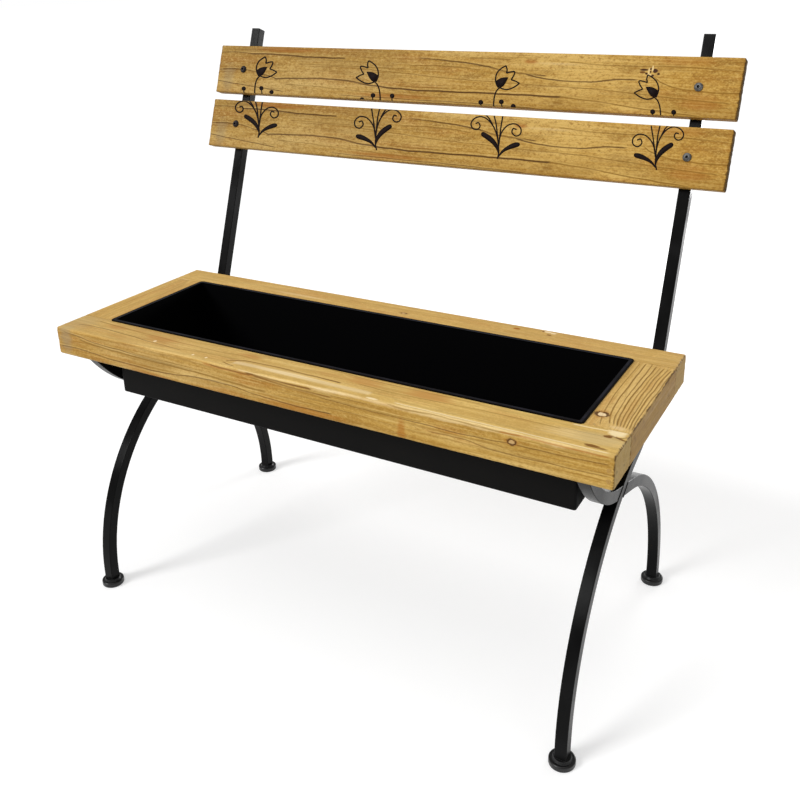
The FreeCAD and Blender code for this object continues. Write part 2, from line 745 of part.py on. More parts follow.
def bolt(body):
    """A button head bolt with a hexagon socket; its head is below its origin."""
    sketch = new_sketch(body, body.Name + "_outline", "XZ_Plane")
    draw_outline(sketch, (
        ("0", "-bolt_head_height"),
        ("bolt_crown_diameter / 2", "-bolt_head_height"),
        ("bolt_head_diameter / 2", "-bolt_head_rim"),
        ("bolt_head_diameter / 2", "0"),
        ("bolt_diameter / 2", "0"),
        ("bolt_diameter / 2", "bolt_length"),
        ("0", "bolt_length")), {1: ("bolt_head_diameter / 2", 1)})
    turned(body, sketch)
    socket = body.newObject("PartDesign::SubtractivePrism", "socket")
    socket.Polygon = 6
    bind(socket, Circumradius="bolt_socket / 2 / cos(30)", Height="bolt_socket_depth")
    place(socket, z="-bolt_head_height")


def washer(body):
    """A flat washer."""
    plate = body.newObject("PartDesign::AdditiveCylinder", "plate")
    bind(plate, Radius="washer_diameter / 2", Height="washer_thickness")
    drill(body, "hole", "bolt_diameter + hole_clearance", "washer_thickness", "0", "0", "0")


def nut(body):
    """A hexagon nut."""
    blank = body.newObject("PartDesign::AdditivePrism", "blank")
    blank.Polygon = 6
    bind(blank, Circumradius="nut_size / 2 / cos(30)", Height="nut_height")
    drill(body, "hole", "bolt_diameter + hole_clearance", "nut_height", "0", "0", "0")


def rounded_rectangle(sketch, width, depth, corner, centre_y):
    """Draws a rectangle with round corners about x = 0 and centre_y."""
    corners = []
    arcs = {}
    for right, back, first in ((1, -1, "x"), (1, 1, "y"), (-1, 1, "x"), (-1, -1, "y")):
        edge_x = "%d * (%s) / 2" % (right, width)
        edge_y = "%s + %d * (%s) / 2" % (centre_y, back, depth)
        along_x = ("%s - %d * (%s)" % (edge_x, right, corner), edge_y)
        along_y = (edge_x, "%s - %d * (%s)" % (edge_y, back, corner))
        arcs[len(corners)] = (corner, 1)
        corners += [along_x, along_y] if first == "x" else [along_y, along_x]
    draw_outline(sketch, corners, arcs)


def planter_trough():
    """The sheet metal trough, which hangs by its lip in the seat's opening."""
    body = new_body("planter_trough")
    shell = new_sketch(body, "shell", "XY_Plane", "trough_bottom")
    rounded_rectangle(shell, "trough_width", "trough_depth", "trough_corner", "trough_y")
    pad(body, shell, "trough_height")
    bottom = value("trough_bottom")
    round_edges(body, "trough_floor_radius", lambda box: flat_at(box.ZMin, box.ZMax, bottom))
    lip = new_sketch(body, "lip", "XY_Plane", "seat_height")
    rounded_rectangle(lip, "lip_width", "lip_depth", "lip_corner", "trough_y")
    pad(body, lip, "lip_thickness")
    hollow = new_sketch(body, "hollow", "XY_Plane", "seat_height + lip_thickness")
    rounded_rectangle(hollow, "trough_width - 2 * trough_wall", "trough_depth - 2 * trough_wall",
                      "trough_corner - trough_wall", "trough_y")
    pocket(body, hollow, "trough_height + lip_thickness - trough_wall")
    for number in range(-2, 3):
        drill(body, "drain_%d" % (number + 3), "drain_diameter", "2 * trough_wall",
              "%d * drain_spacing" % number, "trough_y", "trough_bottom - trough_wall / 2")
    return body


def build_nodes():
    """Makes every sub-part and gives the list of nodes."""
    nodes = [planter_trough()]
    boards = {
        "front": cross_board("seat_front_board", "0", "front_board_depth",
                             "0", "front_board_depth"),
        "rear": cross_board("seat_rear_board", "seat_depth - rear_board_depth",
                            "rear_board_depth", "seat_depth", "seat_depth - rear_board_depth"),
    }
    sides = {side: side_board("seat_%s_board" % side, sign) for side, sign in SIDES}
    nodes += list(boards.values()) + list(sides.values())
    nodes += [seat_screws(boards, sides), tab_screws(boards)]
    for side, sign in SIDES:
        nodes += [main_bar(side, sign), seat_arm(side, sign), rear_leg(side, sign),
                  crossing_weld(side, sign), tab(side, sign, "front"), tab(side, sign, "rear"),
                  foot("front_%s_foot" % side, sign, "0"),
                  foot("rear_%s_foot" % side, sign, "rear_foot_set")]
    nodes += [slat("lower"), slat("upper")]
    nodes += slat_fasteners()
    return nodes


def check(nodes):
    """Stops where any object failed or a node has no valid shape."""
    for thing in doc.Objects:
        if "Invalid" in thing.State or "Error" in thing.State:
            raise RuntimeError("%s failed: %s" % (thing.Label, thing.State))
    for node in nodes:
        if node.Shape.isNull() or not node.Shape.isValid() or not node.Shape.Solids:
            raise RuntimeError("%s has no valid solid" % node.Label)


nodes = build_nodes()
doc.recompute()
check(nodes)
os.makedirs("parts", exist_ok=True)
for node in nodes:
    node.Shape.exportStep("parts/%s.step" % node.Label)
    print(node.Label, len(node.Shape.Solids), "solids")
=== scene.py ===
"""The dressed bench with planter: worn pine boards, black painted steel, inked flowers, a white studio."""
import math

import bpy
from mathutils import Matrix, Vector, noise


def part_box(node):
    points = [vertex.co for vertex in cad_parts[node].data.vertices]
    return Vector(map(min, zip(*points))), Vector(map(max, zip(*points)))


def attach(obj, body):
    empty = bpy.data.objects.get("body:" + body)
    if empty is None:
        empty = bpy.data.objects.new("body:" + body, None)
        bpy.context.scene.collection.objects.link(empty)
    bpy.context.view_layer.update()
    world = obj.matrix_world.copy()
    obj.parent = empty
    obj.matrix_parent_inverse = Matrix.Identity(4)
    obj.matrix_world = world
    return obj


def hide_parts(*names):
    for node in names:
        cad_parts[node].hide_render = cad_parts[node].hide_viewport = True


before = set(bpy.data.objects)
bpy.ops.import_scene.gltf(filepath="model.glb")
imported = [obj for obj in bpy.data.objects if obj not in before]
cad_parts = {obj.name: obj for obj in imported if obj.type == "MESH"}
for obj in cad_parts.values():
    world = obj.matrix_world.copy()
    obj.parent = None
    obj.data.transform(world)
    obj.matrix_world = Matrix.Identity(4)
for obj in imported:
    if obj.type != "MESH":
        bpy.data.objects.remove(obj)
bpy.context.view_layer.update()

MM = 0.001

# The camera that took the photograph, in the part's frame: metres and radians, and pixels of the square picture.
CAMERA_AT = Vector((0.6953, -1.15204, 0.9782))
AZIMUTH, ELEVATION, ROLL = 0.5225, 0.3526, -0.0218
PHOTO_PX = 800
FOCAL_PX = 919.6
CENTRE_PX = (400, 310)
SENSOR_MM = 36

# The slats of the back, and the radii of the edges: a tight one is where two boards meet.
BACK_TILT = math.radians(20)
SLAT_HALF_HEIGHT = 43.25 * MM
SLAT_HALF_THICKNESS = 9 * MM
BOARD_RADIUS = 3 * MM
TIGHT_RADIUS = 0.5 * MM
SLAT_RADIUS = 2 * MM

# The worn boards' meshes: the size of a cell, and how deep each kind of wear goes under the clean shape.
CELL = 3 * MM
REST_DEPTH = 0.22 * MM
WAVE_DEPTH = 0.16 * MM
FIBRE_DEPTH = 0.1 * MM
CHIP_DEPTH = 2.2 * MM
END_REACH = 6 * MM
END_DEPTH = 0.9 * MM
DENT_REACH = 1.2
DENT_DEPTH = 0.8 * MM
SLAT_SEED = 3.1

# The shares and strengths of light in the studio.
FLOOR_LIT = 0.7
FLOOR_BOUNCE = 0.6
FLOOR_GLOW = 0.41
FLOOR_REACH = 30.0
WORLD_LIGHT = 0.35
LAMP_AIM = Vector((0, 0, 0.4))

# The sockets of a Mix node that mixes colours.
MIX_FACTOR, MIX_FIRST, MIX_SECOND, MIX_RESULT = 0, 6, 7, 2


def camera_axes():
    """The camera's right, up and backward directions."""
    back = Vector((math.sin(AZIMUTH) * math.cos(ELEVATION), -math.cos(AZIMUTH) * math.cos(ELEVATION),
                   math.sin(ELEVATION)))
    level = Vector((math.cos(AZIMUTH), math.sin(AZIMUTH), 0))
    rise = back.cross(level)
    right = math.cos(ROLL) * level + math.sin(ROLL) * rise
    up = math.cos(ROLL) * rise - math.sin(ROLL) * level
    return right, up, back


RIGHT, UP, BACK = camera_axes()


def on_plane(px, point, normal):
    """The point of a plane that a pixel of the photograph shows."""
    ray = RIGHT * (px[0] - CENTRE_PX[0]) / FOCAL_PX - UP * (px[1] - CENTRE_PX[1]) / FOCAL_PX - BACK
    return CAMERA_AT + ray * ((point - CAMERA_AT).dot(normal) / ray.dot(normal))


def linear(red, green, blue):
    """A colour read as 0 to 255 in a picture, as Blender's linear colour."""
    def one(value):
        value /= 255
        return value / 12.92 if value <= 0.04045 else ((value + 0.055) / 1.055) ** 2.4
    return one(red), one(green), one(blue), 1.0


def grey(value):
    return value, value, value, 1.0


class Nodes:
    """A material's node tree, with a short call for each kind of node."""

    def __init__(self, name):
        self.material = bpy.data.materials.new(name)
        self.material.use_nodes = True
        self.tree = self.material.node_tree
        self.tree.nodes.clear()

    def node(self, kind, inputs=(), **settings):
        """A node with its settings, and each input given as a value or as another node's output."""
        node = self.tree.nodes.new("ShaderNode" + kind)
        for key, value in settings.items():
            setattr(node, key, value)
        for key, value in dict(inputs).items():
            if isinstance(value, bpy.types.NodeSocket):
                self.tree.links.new(value, node.inputs[key])
            else:
                node.inputs[key].default_value = value
        return node

    def math(self, operation, *values):
        return self.node("Math", enumerate(values), operation=operation).outputs[0]

    def plus(self, first, second):
        return self.math("ADD", first, second)

    def minus(self, first, second):
        return self.math("SUBTRACT", first, second)

    def times(self, first, second):
        return self.math("MULTIPLY", first, second)

    def wander(self, value, reach):
        """Noise as an offset to either side, within a reach in all."""
        return self.times(self.minus(value, 0.5), reach)

    def vector(self, operation, first, second):
        node = self.node("VectorMath", {0: first, 1: second}, operation=operation)
        return node.outputs["Value" if operation == "DOT_PRODUCT" else "Vector"]

    def smooth(self, value, start, end, low=0.0, high=1.0):
        """low before start, high after end, and a smooth step between them."""
        inputs = {"Value": value, "From Min": start, "From Max": end, "To Min": low, "To Max": high}
        return self.node("MapRange", inputs, interpolation_type="SMOOTHSTEP").outputs[0]

    def noise(self, vector, scale, detail=3.0, roughness=0.5):
        inputs = {"Vector": vector, "Scale": scale, "Detail": detail, "Roughness": roughness}
        return self.node("TexNoise", inputs).outputs[0]

    def mix(self, factor, first, second, blend="MIX"):
        """first, with second laid over it by factor."""
        inputs = {MIX_FACTOR: factor, MIX_FIRST: first, MIX_SECOND: second}
        return self.node("Mix", inputs, data_type="RGBA", blend_type=blend).outputs[MIX_RESULT]

    def ramp(self, value, stops):
        """The colour at value, from (place, colour) stops."""
        node = self.node("ValToRGB", {"Fac": value})
        elements = node.color_ramp.elements
        while len(elements) < len(stops):
            elements.new(0.5)
        for element, (place, colour) in zip(elements, stops):
            element.position, element.color = place, colour
        return node.outputs[0]

    def finish(self, colour, roughness, height, bump_strength, bump_mm, **settings):
        """Joins colour, roughness and height to the shader; the settings are its own sockets."""
        bump = self.node("Bump", {"Height": height, "Strength": bump_strength, "Distance": bump_mm * MM})
        inputs = {"Base Color": colour, "Roughness": roughness, "Normal": bump.outputs[0]}
        inputs.update((key.replace("_", " "), value) for key, value in settings.items())
        shader = self.node("BsdfPrincipled", inputs)
        self.node("OutputMaterial", {"Surface": shader.outputs[0]})
        return self.material


# The wood's colours.
PALE = linear(226, 190, 118)
HONEY = linear(198, 156, 78)
DEEP = linear(164, 119, 50)
ORANGE = linear(172, 104, 34)
DARK = linear(86, 55, 24)
KNOT = linear(70, 38, 20)
CHIP = linear(240, 214, 168)
DULL = linear(168, 146, 108)
OLIVE = linear(144, 107, 44)
BROWN = linear(128, 86, 38)
# The side faces' tan, which also darkens them as painted shade.
SIDE_TAN = linear(172, 136, 80)
GREY_END = linear(204, 174, 124)
DARK_END = linear(44, 28, 14)
WHITE = grey(1.0)

# Painted shade: how far the boards' sides go towards the deep colour.
PAINTED_SIDE_SHADE = 0.22


def seed_shift(seed):
    """How far a board's seed moves it through the noise."""
    return seed, seed * 0.37, seed * 0.73


class Board:
    """A board's place: its centre, half sizes, and unit vectors along the grain, across it and out of its face.

    The edges of its tight sides, as (axis, sign), are nearly sharp, because another board meets them there.
    """

    def __init__(self, node, along, across, outward, half, radius, tight=()):
        low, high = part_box(node)
        self.node, self.centre, self.half, self.radius = node, (Vector(low) + Vector(high)) / 2, half, radius
        self.along, self.across, self.outward = along, across, outward
        self.tight = tight

    def place(self, local):
        return self.centre + self.along * local[0] + self.across * local[1] + self.outward * local[2]

    def local(self, point):
        offset = point - self.centre
        return Vector((offset.dot(self.along), offset.dot(self.across), offset.dot(self.outward)))

    def seen_at(self, px, face=2):
        """The local place, on the face of that axis turned to the camera, of a pixel of the photograph."""
        normal = (self.along, self.across, self.outward)[face]
        side = 1 if normal.dot(CAMERA_AT - self.centre) > 0 else -1
        return self.local(on_plane(px, self.centre + normal * side * self.half[face], normal))


class Pine(Nodes):
    """Stained pine: a board's material, built up from its log's rings, its fibres and the marks in it.

    Noise is given by its scales along the grain and across it, in features to the metre, and its detail.
    """

    def __init__(self, board, seed):
        super().__init__(board.node + "_pine")
        self.board = board
        axes = (board.along, board.across, board.outward)
        coordinates = self.node("TexCoord").outputs
        offset = self.vector("SUBTRACT", coordinates["Object"], board.centre)
        self.along, self.across, self.outward = (self.vector("DOT_PRODUCT", offset, axis) for axis in axes)
        self.local = self.node("CombineXYZ", {0: self.along, 1: self.across, 2: self.outward}).outputs[0]
        self.moved = self.vector("ADD", self.local, seed_shift(seed))
        self.facing = [self.math("ABSOLUTE", self.vector("DOT_PRODUCT", coordinates["Normal"], axis)) for axis in axes]
        self.fibres = self.long_noise(9, 420, 4, 0.6)
        self.streaks = self.long_noise(3.2, 110, 4, 0.6)
        self.mixed = self.long_noise(26, 40, 2)
        self.colour, self.height = None, self.times(self.fibres, 0.6)

    def long_noise(self, along, crosswise, detail, roughness=0.5):
        """Noise drawn out along the grain."""
        return self.noise(self.vector("MULTIPLY", self.moved, (along, crosswise, crosswise)), 1.0, detail, roughness)

    def distance(self, place, length, width):
        """Distance from a local place, in reaches of length along the grain and width across it."""
        reach = self.vector("MULTIPLY", self.vector("SUBTRACT", self.local, place), (1 / length, 1 / width, 1 / width))
        return self.node("VectorMath", {0: reach}, operation="LENGTH").outputs["Value"]

    def lay(self, factor, colour, blend="MIX"):
        self.colour = self.mix(factor, self.colour, colour, blend)

    def sink(self, amount, depth):
        self.height = self.minus(self.height, self.times(amount, depth))

    def ground(self, streaky, mottled, orange):
        """The board's own colour: broad clouds, long streaks by a share, a mottle of short ones, and orange clouds."""
        clouds = self.long_noise(4, 14, 4, 0.6)
        tone = self.math("MULTIPLY_ADD", self.minus(self.streaks, clouds), streaky, clouds)
        self.colour = self.ramp(tone, ((0.36, DEEP), (0.5, HONEY), (0.63, PALE)))
        warm = self.smooth(self.long_noise(7, 40, 3, 0.6), 0.52, 0.66, 0.0, orange)
        self.lay(warm, ORANGE)
        olive = self.smooth(self.long_noise(16, 55, 3, 0.6), 0.52, 0.7, 0.0, 0.85 - orange)
        self.lay(olive, OLIVE)
        mottle = self.long_noise(150, 260, 3, 0.75)
        self.lay(self.smooth(mottle, 0.48, 0.68, 0.0, mottled), DEEP)
        self.lay(self.smooth(mottle, 0.3, 0.5, mottled, 0.0), PALE)
        pores = self.long_noise(330, 620, 2, 0.6)
        self.lay(self.smooth(pores, 0.52, 0.68, 0.0, 0.6 * mottled), BROWN)
        self.lay(self.smooth(pores, 0.32, 0.48, 0.6 * mottled, 0.0), PALE)

    def rings(self, pith, spacing, strength, knots):
        """The year rings of a log whose heart runs at pith, (across, outward) from the board's middle."""
        squares = [self.math("POWER", self.minus(value, middle), 2.0)
                   for value, middle in ((self.across, pith[0]), (self.outward, pith[1]))]
        radius = self.math("SQRT", self.plus(*squares))
        radius = self.plus(radius, self.times(self.long_noise(1.8, 9, 3), 0.05))
        radius = self.plus(radius, self.times(self.long_noise(14, 60, 3), 0.006))
        for place, size in knots:
            swirl = self.smooth(self.distance(place, 1.5 * size, size), 0.0, 4.5, 2.4 * size, 0.0)
            radius = self.plus(radius, swirl)
        phase = self.math("FRACT", self.math("DIVIDE", radius, spacing))
        late = self.times(self.smooth(phase, 0.45, 0.93), self.smooth(phase, 0.94, 0.995, 1.0, 0.0))
        late = self.times(late, self.smooth(self.streaks, 0.35, 0.6, 0.3, 1.0))
        self.lay(self.times(late, strength), OLIVE)
        self.sink(late, -0.2)

    def fine_grain(self, strength):
        """Dark hairlines and pale torn fibres."""
        self.lay(self.smooth(self.fibres, 0.52, 0.68, 0.0, strength), DEEP)
        self.lay(self.smooth(self.fibres, 0.32, 0.45, strength, 0.0), PALE)
        hairs = self.smooth(self.long_noise(7, 520, 2), 0.64, 0.72)
        self.lay(self.times(hairs, 0.6 * strength), DARK)
        self.sink(hairs, 0.6)

    def vein(self, face, width, strength, colour, places):
        """A single dark line on the faces of one axis, through the local places."""
        side = 1 if face == 2 else 2
        value, depth = (self.along, self.across, self.outward)[side], self.board.half[side]
        length, places = self.board.half[0], sorted(places, key=lambda place: place[0])
        curve = self.node("FloatCurve", {"Value": self.math("MULTIPLY_ADD", self.along, 0.5 / length, 0.5)})
        points = curve.mapping.curves[0].points
        while len(points) < len(places):
            points.new(0.5, 0.5)
        for point, place in zip(points, places):
            point.location = (place[0] * 0.5 / length + 0.5, place[side] * 0.5 / depth + 0.5)
        curve.mapping.update()
        middle = self.times(self.minus(curve.outputs[0], 0.5), 2 * depth)
        wiggle = self.wander(self.mixed, 3 * MM)
        off = self.plus(self.minus(value, middle), wiggle)
        line = self.smooth(self.math("ABSOLUTE", off), width * 0.3, width, strength, 0.0)
        beside = self.math("ABSOLUTE", self.minus(off, 1.5 * width))
        pale = self.smooth(beside, 0.0, width, 0.4 * strength, 0.0)
        shown = self.smooth(self.facing[face], 0.5, 0.8)
        for edge, sign in ((places[0][0], 1), (places[-1][0], -1)):
            shown = self.times(shown, self.smooth(self.along, edge - sign * 4 * MM, edge + sign * 3 * MM))
        faded = self.times(shown, self.smooth(self.streaks, 0.35, 0.55, 0.6, 1.0))
        self.lay(self.times(pale, shown), PALE)
        self.lay(self.times(line, faded), colour)
        self.sink(self.times(line, faded), 1.0)

    def patch(self, place, length, width, strength, colour):
        """A cloud of colour round a local place, drawn out along the grain."""
        ragged = self.wander(self.streaks, 1.6)
        far = self.plus(self.distance(place, length, width), ragged)
        self.lay(self.smooth(far, 0.35, 1.15, strength, 0.0), colour)

    def spot(self, place, length, width, colour):
        """A small, sharp fleck of colour with a torn edge on a local place."""
        torn = self.wander(self.long_noise(140, 170, 3, 0.6), 0.8)
        far = self.plus(self.distance(place, length, width), torn)
        self.lay(self.smooth(far, 0.7, 1.2, 1.0, 0.0), colour)

    def knot(self, place, length, width, heart):
        """A knot with a dark, cracked rim and a pale heart, in reaches along the grain and across it."""
        torn = self.wander(self.long_noise(230, 260, 3, 0.6), 0.9)
        far = self.plus(self.distance(place, length, width), torn)
        rim = self.times(self.smooth(far, 0.6, 0.82), self.smooth(far, 1.0, 1.4, 1.0, 0.0))
        rim = self.times(rim, self.smooth(self.long_noise(120, 160, 2), 0.3, 0.48, 0.25, 1.0))
        self.lay(self.smooth(self.distance(place, 2.6 * length, 1.7 * width), 0.3, 1.0, 0.4, 0.0), ORANGE)
        self.lay(self.smooth(far, 0.55, 0.85, heart, 0.0), CHIP)
        self.lay(self.times(rim, 0.85), KNOT)
        self.sink(rim, 1.4)

    def edge_band(self, strength, start, end):
        """Pale worn wood with a painted highlight along the board's front top edge, between two places along it."""
        rim = self.math("MAXIMUM", self.math("ABSOLUTE", self.plus(self.across, self.board.half[1])),
                        self.math("ABSOLUTE", self.minus(self.outward, self.board.half[2])))
        ragged = self.wander(self.long_noise(16, 60, 4, 0.6), 16 * MM)
        band = self.smooth(self.plus(rim, ragged), 2 * MM, 6 * MM, strength, 0.0)
        for edge, sign in ((start, 1), (end, -1)):
            band = self.times(band, self.smooth(self.along, edge - sign * 45 * MM, edge + sign * 45 * MM))
        self.lay(band, CHIP)

    def tint_faces(self, axis, share, colour):
        self.lay(self.smooth(self.facing[axis], 0.5, 0.9, 0.0, share), colour)

    def own_face(self, axis, mottle, least, most, colour):
        """Gives the faces of one axis a mottled colour of their own, and returns where they are."""
        face = self.smooth(self.facing[axis], 0.6, 0.9)
        self.lay(self.times(face, self.smooth(mottle, 0.35, 0.65, least, most)), colour)
        return face

    def rim_line(self, axis, inset, start, strength):
        """A dark, broken line on the other faces, where inset, their distance from those of one axis, is small."""
        line = self.smooth(inset, start, start + 1.8 * MM, strength, 0.0)
        self.lay(self.times(line, self.smooth(self.facing[axis], 0.75, 0.98, 1.0, 0.0)), DARK)

    def side_shade_and_mottle(self, shade, rim):
        """A duller side face, darkened as painted shade with a real mottle of tan and brown, and a dark, ragged line
        along the top edge above it.
        """
        mottle = self.long_noise(60, 90, 4, 0.65)
        side = self.own_face(1, mottle, 0.5 * shade, shade, SIDE_TAN)
        self.lay(self.times(side, self.smooth(mottle, 0.55, 0.72, 0.0, 0.5)), BROWN)
        inset = self.plus(self.across, self.board.half[1])
        ragged = self.wander(self.long_noise(70, 160, 3, 0.6), 8 * MM)
        self.rim_line(1, self.plus(inset, ragged), 0.8 * MM, rim)

    def ends(self, grain, rim):
        """Mottled end grain in its own colour, and a dark, broken line round it."""
        mottle = self.long_noise(90, 90, 4, 0.65)
        face = self.own_face(0, mottle, 0.55, 0.95, grain)
        self.lay(self.times(face, self.smooth(mottle, 0.56, 0.72, 0.0, 0.45)), DARK)
        inset = self.minus(self.board.half[0], self.math("ABSOLUTE", self.along))
        ragged = self.wander(self.long_noise(120, 210, 3, 0.6), 9 * MM)
        self.rim_line(0, self.plus(inset, ragged), 0.6 * MM, rim)

    def done(self, left, right):
        """The finished material, its colour multiplied by one tint at its low end and another at its high end."""
        share = self.smooth(self.along, -0.8 * self.board.half[0], 0.8 * self.board.half[0])
        self.lay(1.0, self.mix(share, left, right), "MULTIPLY")
        dull_end = self.smooth(self.facing[0], 0.6, 0.9)
        roughness = self.math("MAXIMUM", self.smooth(self.fibres, 0.3, 0.7, 0.5, 0.75), dull_end)
        return self.finish(self.colour, roughness, self.height, 0.8, 0.5, Specular_IOR_Level=0.12)


def painted_steel(name, colour, roughness, grain_mm, shine):
    """Satin paint on steel, with a faint orange peel and a painted highlight of lighter grey on the edges."""
    n = Nodes(name)
    spot = n.node("TexCoord").outputs["Object"]
    peel = n.noise(spot, 1 / (grain_mm * MM), 3.0, 0.55)
    cloud = n.noise(spot, 14, 3, 0.5)
    normal = n.node("NewGeometry").outputs["Normal"]
    soft = n.node("Bevel", {"Radius": 1.2 * MM}, samples=4).outputs[0]
    # Painted highlight: lighter grey on the edges, where the bevelled normal turns away.
    edge = n.smooth(n.vector("DOT_PRODUCT", normal, soft), 0.75, 0.98, 1.0, 0.0)
    tone = n.mix(n.smooth(cloud, 0.35, 0.7, 0.0, 0.35), colour, linear(24, 24, 25))
    tone = n.mix(n.times(edge, n.smooth(cloud, 0.4, 0.6, 0.15, 0.6)), tone, linear(92, 92, 94))
    rough = n.smooth(cloud, 0.3, 0.7, roughness - 0.06, roughness + 0.08)
    return n.finish(tone, rough, peel, 0.25, 0.15, Specular_IOR_Level=shine)


def trough_paint(name):
    """Black paint that is dull and dark inside the trough, with a thin bluish painted highlight on the inner half of
    its lip and a near-black painted shadow on its outer part.
    """
    n = Nodes(name)
    low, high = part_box("planter_trough")
    spot = n.node("TexCoord").outputs["Object"]
    x, y, z = n.node("SeparateXYZ", {0: spot}).outputs
    middle_y, half_y = (low[1] + high[1]) / 2, (high[1] - low[1]) / 2
    from_middle = n.math("ABSOLUTE", n.minus(y, middle_y))
    inset = n.math("MINIMUM", n.minus(high[0], n.math("ABSOLUTE", x)), n.minus(half_y, from_middle))
    lip = n.smooth(z, high[2] - 2.5 * MM, high[2] - 1.2 * MM)
    inside = n.smooth(inset, 5.2 * MM, 6.4 * MM)
    # The inner half of the lip, which takes the painted highlight and a lower roughness.
    shine = n.times(lip, n.smooth(inset, 1.8 * MM, 3.2 * MM))
    cloud = n.noise(spot, 14, 3, 0.5)
    tone = n.mix(cloud, linear(14, 14, 14), linear(20, 19, 18))
    # Painted shadow: the lip near black, where it meets the boards.
    tone = n.mix(lip, tone, linear(4, 3, 3))
    # Painted highlight: an uneven bluish band on the inner half of the lip.
    uneven_highlight = n.smooth(n.noise(spot, 22, 3, 0.6), 0.35, 0.65)
    tone = n.mix(shine, tone, n.mix(uneven_highlight, linear(14, 14, 20), linear(34, 34, 44)))
    tone = n.mix(inside, tone, linear(3, 3, 4))
    peel = n.noise(spot, 900, 3, 0.55)
    roughness = n.mix(shine, grey(0.55), grey(0.35))
    return n.finish(tone, roughness, peel, 0.2, 0.12, Specular_IOR_Level=0.05)


def bare_steel(name, colour, dull, metallic, depth, left_colour=None):
    """Steel with turning marks, duller patches, painted shade in its hollows by depth, and a darker colour on the
    bench's left if asked.
    """
    n = Nodes(name)
    spot = n.node("TexCoord").outputs["Object"]
    marks = n.noise(spot, 1800, 2, 0.5)
    patches = n.noise(spot, 240, 3, 0.6)
    tone = n.mix(n.smooth(patches, 0.35, 0.7, 0.0, 0.9), colour, dull)
    # A darker colour on the bench's left, where x is below nought.
    if left_colour:
        x = n.node("SeparateXYZ", {0: spot}).outputs[0]
        tone = n.mix(n.smooth(x, -0.05, 0.05, 0.9, 0.0), tone, left_colour)
    # Painted shade: darker in recesses, by depth.
    hollow_shade = n.node("AmbientOcclusion", {"Distance": 4 * MM}, samples=8).outputs["AO"]
    tone = n.mix(n.smooth(hollow_shade, 0.45, 0.9, depth, 0.0), tone, linear(14, 10, 9))
    rough = n.smooth(patches, 0.3, 0.7, 0.4, 0.6)
    return n.finish(tone, rough, marks, 0.3, 0.05, Metallic=metallic, Specular_IOR_Level=0.2)


def ink(name):
    """Dark brown burnt line, a little uneven."""
    n = Nodes(name)
    spot = n.node("TexCoord").outputs["Object"]
    blotches = n.noise(spot, 260, 3, 0.6)
    tone = n.ramp(blotches, ((0.3, linear(10, 5, 6)), (0.7, linear(28, 14, 13))))
    return n.finish(tone, n.smooth(blotches, 0.3, 0.7, 0.55, 0.75), blotches, 0.2, 0.1, Specular_IOR_Level=0.1)


def ticks(half, radius, cell):
    """Grid lines over a side of a board: closer together round its two edges."""
    inner = half - radius
    count = max(1, round(2 * inner / cell))
    edge = [radius * step for step in (0.0, 0.35, 0.7)]
    middle = [-inner + 2 * inner * i / count for i in range(count + 1)]
    return [-half + step for step in edge] + middle + [half - step for step in reversed(edge)]


def surface_grid(lines):
    """The vertices of a box's surface on a lattice, and its quads."""
    top = [len(line) - 1 for line in lines]
    index, corners, quads = {}, [], []

    def corner(key):
        if key not in index:
            index[key] = len(corners)
            corners.append(Vector(lines[axis][key[axis]] for axis in range(3)))
        return index[key]

    for axis in range(3):
        first, second = (axis + 1) % 3, (axis + 2) % 3
        for side in (0, top[axis]):
            for i in range(top[first]):
                for j in range(top[second]):
                    loop = []
                    for di, dj in ((0, 0), (1, 0), (1, 1), (0, 1)):
                        key = [0, 0, 0]
                        key[axis], key[first], key[second] = side, i + di, j + dj
                        loop.append(corner(tuple(key)))
                    quads.append(loop if side else loop[::-1])
    return corners, quads


def rounded(corner, board):
    """A surface point moved onto the board's rounded shape, its normal, and how far round an edge it lies."""
    def inner_end(axis, half, sign):
        return sign * (half - (TIGHT_RADIUS if (axis, sign) in board.tight else board.radius))

    inner = Vector(max(inner_end(axis, half, -1), min(inner_end(axis, half, 1), corner[axis]))
                   for axis, half in enumerate(board.half))
    out = (corner - inner).normalized()
    place = Vector(max(-half, min(half, part)) for part, half in zip(inner + out * board.radius, board.half))
    return place, out, 1 - max(abs(part) for part in out)


def relief(board, place, seed, edge, dents):
    """How far the worn surface lies under the board's clean shape at a local place, in metres."""
    point, shift = Vector(place), Vector(seed_shift(seed))

    def rough(along, crosswise):
        """Noise from -1 to 1, by its scales along the grain and across it."""
        return noise.noise(Vector((point.x * along, point.y * crosswise, point.z * crosswise)) + shift)

    chip, ragged = max(0.0, rough(60, 110)), max(0.0, rough(190, 260))
    depth = REST_DEPTH + WAVE_DEPTH * rough(5, 18) + FIBRE_DEPTH * rough(22, 190)
    depth += max(0.0, edge) * (1.6 * chip + 0.8 * ragged) * CHIP_DEPTH
    depth += max(0.0, 1 - (board.half[0] - abs(point.x)) / END_REACH) * ragged * END_DEPTH
    for dent, reach, deep in dents:
        near = (point - dent).length / reach
        if near < 1:
            depth += deep * (1 - near * near) ** 2
    return max(0.0, depth)


def worn_board(board, material, seed, dents):
    """The board as its own piece, with rounded, chipped edges and a rough face."""
    lines = [ticks(half, board.radius, CELL) for half in board.half]
    corners, quads = surface_grid(lines)
    places = []
    for corner in corners:
        place, normal, edge = rounded(corner, board)
        places.append(board.place(place - normal * relief(board, place, seed, edge, dents)))
    piece = add_mesh(board.node + "_worn", places, quads, material)
    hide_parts(board.node)


